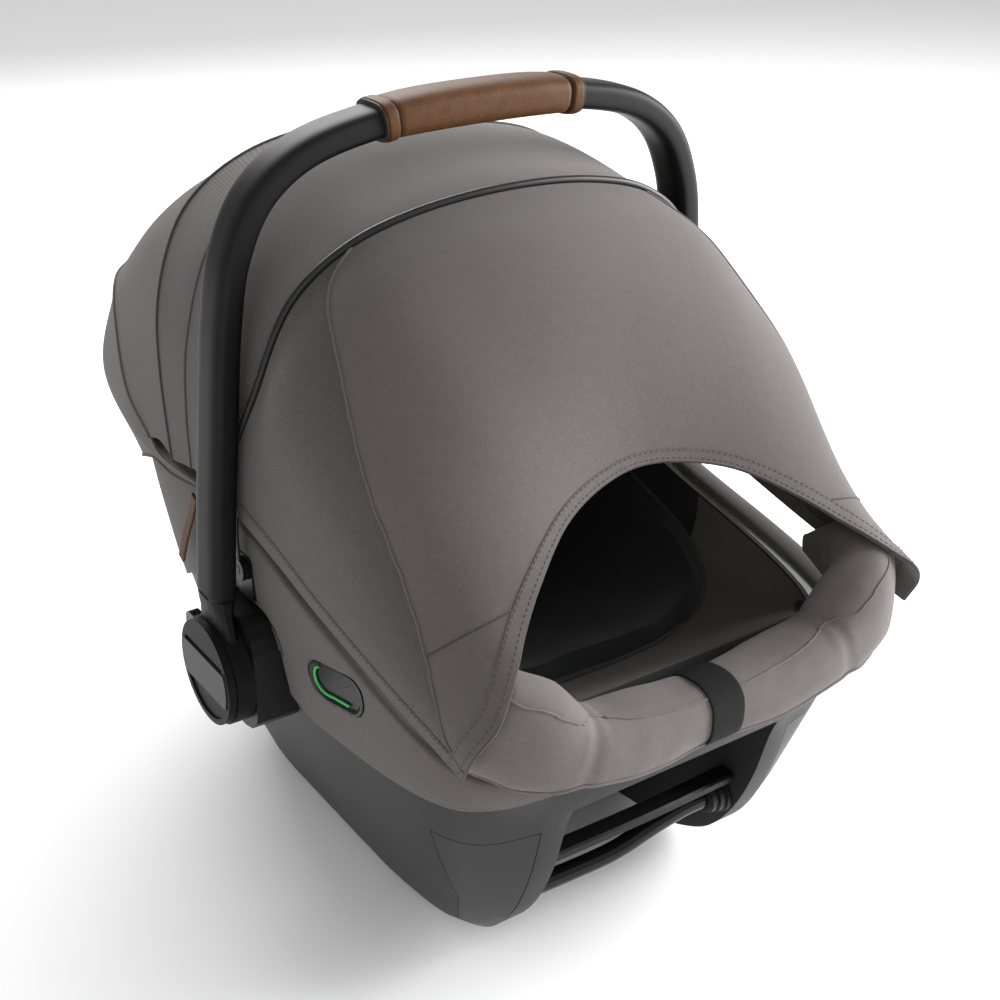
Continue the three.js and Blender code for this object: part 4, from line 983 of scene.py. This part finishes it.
for side, sign in SIDES:
    for kind, section, slot, material, power in (("shoulder_strap", (25, 1.8), "webbing", WEBBING, 7.0),
                                                 ("shoulder_pad", (42, 9), "charcoal_cloth", CHARCOAL, 3.2)):
        low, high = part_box(f"{kind}_{side}")
        ys = np.linspace(low.y, high.y, 14)
        data = np.array([v.co for v in nodes[f"{kind}_{side}"].data.vertices])
        line = []
        for y in ys:
            near = data[np.abs(data[:, 1] - y) < 0.018]
            line.append([(low.x + high.x) / 2, y, (near[:, 2].min() + near[:, 2].max()) / 2])
        line = spaced(line, 40)
        pad = sweep(f"{kind}_{side}_fine", line[1:-1], oval(section[0] * 0.001, section[1] * 0.0009, 24, power),
                    (1, 0, 0), material, sharp=60)
        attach(pad, "seat")
        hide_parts(f"{kind}_{side}")
finish_cad("crotch_strap", WEBBING)
finish_cad("buckle_body", BLACK, 0.002, segments=3)
finish_cad("buckle_button", RED, 0.001)

# ---------------------------------------------------------------- canopy

# Three panels of one taupe cloth over two bows: rear, back and top, each sewn to the next with a corded seam.
# A knitted vent panel lies in front of the mid bow's seam, and the skirt's edge is bound.
rear_cloth = Cloth([skirt_curve, bulge_curve, back_curve], seed=2.0)
back_cloth = Cloth([back_curve, back_bulge, mid_curve], seed=3.0)
top_cloth = Cloth([mid_curve, top_bulge, front_curve], seed=5.0)
top_start, top_end = placed([0, 130, 450]), placed([0, -40, 450])
for name, sheet, rests in (("rear_panel", rear_cloth, "outer_shell"), ("back_panel", back_cloth, "mid_bow"),
                           ("top_panel", top_cloth, "mid_bow")):
    grid = sheet.at(np.linspace(0.004, 0.996, 70)[:, None], np.linspace(0, 1, 150)[None, :])
    item = sheet_mesh(name + "_cloth", grid, 0.0017, TAUPE, sharp=60)
    note_area(item, 2.02)
    if name == "rear_panel":
        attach(item, "seat")
    elif name == "back_panel":
        placed([0, 330, 330])
        placed([0, 141, 500])
        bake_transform(item)
    else:
        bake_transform(item)
    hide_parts(name)
across = np.linspace(0, 1, 221)
cord_of("back_seam_cord", rear_cloth.at(0.999, across, 0.0004), 0.0013, TAUPE, "seat")
cord_of("skirt_binding", rear_cloth.at(0.006, across, -0.0004), 0.0016, TAUPE_DARK, "seat")
VENT_U = 0.38
vent = patch("vent_panel", top_cloth, 0.004, VENT_U, 0.0, 1.0, 24, 200, MESH, None, 0.0006, 0.0008)
vent_cords = [
    cord_of("mid_seam_cord", top_cloth.at(0.003, across, 0.0008), 0.0013, TAUPE_DARK, None),
    cord_of("vent_seam_cord", top_cloth.at(VENT_U + 0.002, across, 0.0006), 0.0009, TAUPE, None),
]
for item in [vent] + vent_cords:
    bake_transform(item)
cord_of("front_piping", top_cloth.at(0.998, across, 0.0013), 0.0028, PIPING, "front_bow")
finish_cad("front_bow", BLACK)
finish_cad("mid_bow", BLACK)

# ---------------------------------------------------------------- drape

# The front drape is a taupe centre with a knitted mesh panel in each side, joined by a raised seam.
# Its front edge is a hem with two rows of stitches, and each side has a narrow hem with one row.
window_line = [(-108, -50, 497), (-124, -57, 487), (-140, -65, 472), (-160, -115, 427), (-170, -166, 370),
               (-179, -206, 331), (-184, -245, 280), (-182, -272, 243)]
found = drape_cloth.nearest(placed(spaced(window_line, 40)))
order = np.argsort(found[:, 0])
seam_u = np.concatenate([[0.0], found[order, 0], [1.0]])
seam_t = np.concatenate([[found[order[0], 1]], found[order, 1], [max(0.012, found[order[-1], 1])]])
seam_t = np.convolve(np.pad(seam_t, 2, mode="edge"), np.ones(5) / 5, "valid")


def seam_left(u):
    return max(0.012, float(np.interp(u, seam_u, seam_t)))


drape_parts = [
    patch("drape_centre", drape_cloth, 0.004, 1.0, seam_left, lambda u: 1 - seam_left(u), 120, 130, TAUPE,
          "front_bow"),
    patch("drape_window_left", drape_cloth, 0.004, 0.995, 0.0, seam_left, 110, 40, MESH, "front_bow"),
    patch("drape_window_right", drape_cloth, 0.004, 0.995, lambda u: 1 - seam_left(u), 1.0, 110, 40, MESH,
          "front_bow"),
]
HEM_U, SIDE_HEM, SIDE_STITCH, CORNER_U = 0.965, 0.018, 0.0155, 0.855
hem = patch("drape_hem", drape_cloth, HEM_U, 1.0, 0.0, 1.0, 8, 220, TAUPE_HEM, "front_bow", 0.0007, 0.0030)
side_hems = [
    patch(name, drape_cloth, 0.0, 1.0, t0, t1, 120, 6, TAUPE_HEM, "front_bow", 0.0007, 0.0030)
    for name, t0, t1 in (("drape_side_hem_left", 0.0, SIDE_HEM), ("drape_side_hem_right", 1 - SIDE_HEM, 1.0))
]
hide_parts("drape")
down = np.linspace(0.0, 1.0, 160)
seam_ts = np.array([seam_left(u) for u in down])
corner_u = np.linspace(CORNER_U, HEM_U, 30)
corner_t = np.linspace(seam_left(CORNER_U) + 0.002, 0.215, 30)
corner_left = drape_cloth.at(corner_u, corner_t, 0.0001)
corner_right = drape_cloth.at(corner_u, 1 - corner_t, 0.0001)
drape_trim = [
    cord_of("window_seam_left", drape_cloth.at(down, seam_ts, 0.0003), 0.0010, TAUPE, "front_bow"),
    cord_of("window_seam_right", drape_cloth.at(down, 1 - seam_ts, 0.0003), 0.0010, TAUPE, "front_bow"),
    cord_of("hem_edge_cord", drape_cloth.at(0.999, across, -0.0006), 0.0013, TAUPE_DARK, "front_bow"),
    cord_of("corner_seam_left", corner_left, 0.0006, TAUPE_DARK, "front_bow"),
    cord_of("corner_seam_right", corner_right, 0.0006, TAUPE_DARK, "front_bow"),
    stitches("hem_stitches_upper", drape_cloth.at(HEM_U + 0.004, across, 0.0008), "front_bow", THREAD),
    stitches("hem_stitches_lower", drape_cloth.at(0.991, across, 0.0008), "front_bow", THREAD),
    stitches("side_stitches_left", drape_cloth.at(down, SIDE_STITCH, 0.0008), "front_bow", THREAD),
    stitches("side_stitches_right", drape_cloth.at(down, 1 - SIDE_STITCH, 0.0008), "front_bow", THREAD),
]
for item in drape_parts + [hem] + side_hems + drape_trim:
    placed([0, -30, 420])
    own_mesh(item)

# ---------------------------------------------------------------- handle

# A flat-oval arch with a soft matt coat outside and smooth black nylon inside. A leather sleeve at its crown
# is the grip, with a raised ring at each end.
arch_half = [(206, 64), (204.5, 90), (202.5, 125), (199, 170), (195.5, 215), (191, 262), (183, 305), (165, 341),
             (135, 364), (80, 378), (0, 382)]
LEAN, CROWN = 22, 382
TUBE_DEEP, TUBE_THICK = 0.034, 0.020
lean = [(-x, AXIS_Y - LEAN * up / CROWN, AXIS_Z + up) for x, up in arch_half]
handle_path = placed(spaced(both_sides(lean), 321))
handle_tube = sweep("handle_arch", handle_path, oval(TUBE_DEEP, TUBE_THICK, 72, 3.6), (0, 1, 0), COATED)
handle_tube.data.materials.append(COATED_IN)
for face in handle_tube.data.polygons:
    nearest = handle_path[np.argmin(np.sum((handle_path - np.array(face.center)) ** 2, axis=1))]
    inward = unit(placed([0, 0, 330]) - nearest)
    if np.dot(np.array(face.normal), inward) > 0.35:
        face.material_index = 1
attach(handle_tube, "handle")
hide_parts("handle_tube")


def sleeve(name, start, end, proud, material, crown=0.0, steps=60):
    """A closed sleeve round the handle between two distances from its middle, in metres."""
    run = np.concatenate([[0], np.cumsum(np.linalg.norm(np.diff(handle_path, axis=0), axis=1))])
    run -= run[-1] / 2
    at = np.linspace(start, end, steps)
    path = np.stack([np.interp(at, run, handle_path[:, k]) for k in range(3)], -1)
    share = np.linspace(-1, 1, steps)
    swell = proud + crown * (1 - share ** 4) - 0.0012 * (np.abs(share) > 0.985)
    outer = np.array([oval(TUBE_DEEP + 2 * p, TUBE_THICK + 2 * p, 56, 3.0) for p in swell])
    item = sweep(name, path, outer, (0, 1, 0), material, sharp=60)
    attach(item, "handle")
    return item


grip = sleeve("grip_leather", -0.068, 0.068, 0.0026, LEATHER, crown=0.0010)
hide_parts("handle_grip")
for side, sign in SIDES:
    ring = sleeve(f"grip_ring_{side}_leather", *sorted((sign * 0.0690, sign * 0.0770)), 0.0034, LEATHER, 0.0004,
                  16)
    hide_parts(f"grip_ring_{side}")
    sleeve(f"grip_ring_edge_{side}", *sorted((sign * 0.0768, sign * 0.0786)), 0.0030, LEATHER_DARK, 0.0, 6)
    sleeve(f"grip_groove_{side}", *sorted((sign * 0.0679, sign * 0.0692)), 0.0022, LEATHER_DARK, 0.0, 6)

# ---------------------------------------------------------------- hubs

# The arm widens into a round hub with a domed cap, a satin band across it and a release button.
# These are the CAD's own pieces, with rounded edges and their real finishes.
for side, sign in SIDES:
    finish_cad(f"handle_arm_{side}", COATED, 0.0012, 32, 3)
    finish_cad(f"hub_cap_{side}", COATED, 0.0010, 32, 3)
    finish_cad(f"hub_badge_{side}", BADGE, 0.0006, 32, 3)
    finish_cad(f"release_button_{side}", GLOSS, 0.0008, 32, 3)
    finish_cad(f"hub_housing_{side}", BLACK, 0.0012, 32, 3)
    finish_cad(f"pivot_pin_{side}", STEEL, 0.0005)
    finish_cad(f"lock_gear_{side}", BLACK, 0.0004)
    finish_cad(f"gear_spring_{side}", STEEL)
    finish_cad(f"canopy_mount_{side}", BLACK, 0.0006)

# ---------------------------------------------------------------- leather tabs

# A narrow strip of brown leather hangs at the canopy's lower corner on each side, swept along its own line.
tab_line = [(187.2, 72, 281), (187.4, 82, 262), (187.3, 96, 240), (187, 110, 214)]
for side, sign in SIDES:
    path = placed(spaced([(sign * x, y, z) for x, y, z in tab_line], 30))
    tab = sweep(f"leather_tab_{side}_strip", path, oval(0.0022, 0.0085, 28, 5.0), (1, 0, 0), LEATHER, sharp=60)
    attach(tab, "seat")
    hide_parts(f"leather_tab_{side}")

# ---------------------------------------------------------------- camera, light and floor

# The camera looks down from the foot end's left. A large lamp on the right is the key, a weak one fills from
# the camera's side, and one behind lights the canopy. The floor is matt white.
AZIMUTH, ELEVATION = math.radians(34.3), math.radians(26.31)
forward = Vector((math.sin(AZIMUTH) * math.cos(ELEVATION), math.cos(AZIMUTH) * math.cos(ELEVATION),
                  -math.sin(ELEVATION)))
right = Vector((math.cos(AZIMUTH), -math.sin(AZIMUTH), 0))
up = right.cross(forward)
camera_data = bpy.data.cameras.new("camera")
camera_data.lens = 55.8
camera_data.sensor_width = 36
camera = bpy.data.objects.new("camera", camera_data)
spot = Vector(placed([-573.14, -887.1, 777.81]))
camera.matrix_world = Matrix((
    (right.x, up.x, -forward.x, spot.x),
    (right.y, up.y, -forward.y, spot.y),
    (right.z, up.z, -forward.z, spot.z),
    (0, 0, 0, 1),
))
bpy.context.scene.collection.objects.link(camera)
bpy.context.scene.camera = camera

floor_material, _, floor_shader = surface("studio floor, white", 0.9)
floor_shader.inputs["Base Color"].default_value = (0.93, 0.93, 0.93, 1)
floor = build("floor", [(-6, -6, 0), (6, -6, 0), (6, 6, 0), (-6, 6, 0)], [(0, 1, 2, 3)], floor_material)
floor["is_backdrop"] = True


def lamp(name, place, aim, size, power):
    data = bpy.data.lights.new(name, "AREA")
    data.size = size
    data.energy = power
    item = bpy.data.objects.new(name, data)
    item.location = place
    item.rotation_euler = (Vector(aim) - Vector(place)).to_track_quat("-Z", "Y").to_euler()
    bpy.context.scene.collection.objects.link(item)


lamp("key", (2.4, -1.0, 1.1), (0, 0, 0.25), 1.8, 128)
lamp("fill", (-1.4, -1.9, 1.0), (0, 0, 0.25), 2.0, 9)
lamp("top", (0.5, 1.9, 1.9), (0, 0, 0.3), 1.6, 52)
world = bpy.data.worlds.new("studio")
world.use_nodes = True
world.node_tree.nodes["Background"].inputs["Color"].default_value = (1, 1, 1, 1)
world.node_tree.nodes["Background"].inputs["Strength"].default_value = 0.47
bpy.context.scene.world = world
bpy.context.scene.view_settings.view_transform = "Standard"
bpy.context.scene.view_settings.look = "None"
bpy.context.scene.view_settings.exposure = 0.4

low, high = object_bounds()
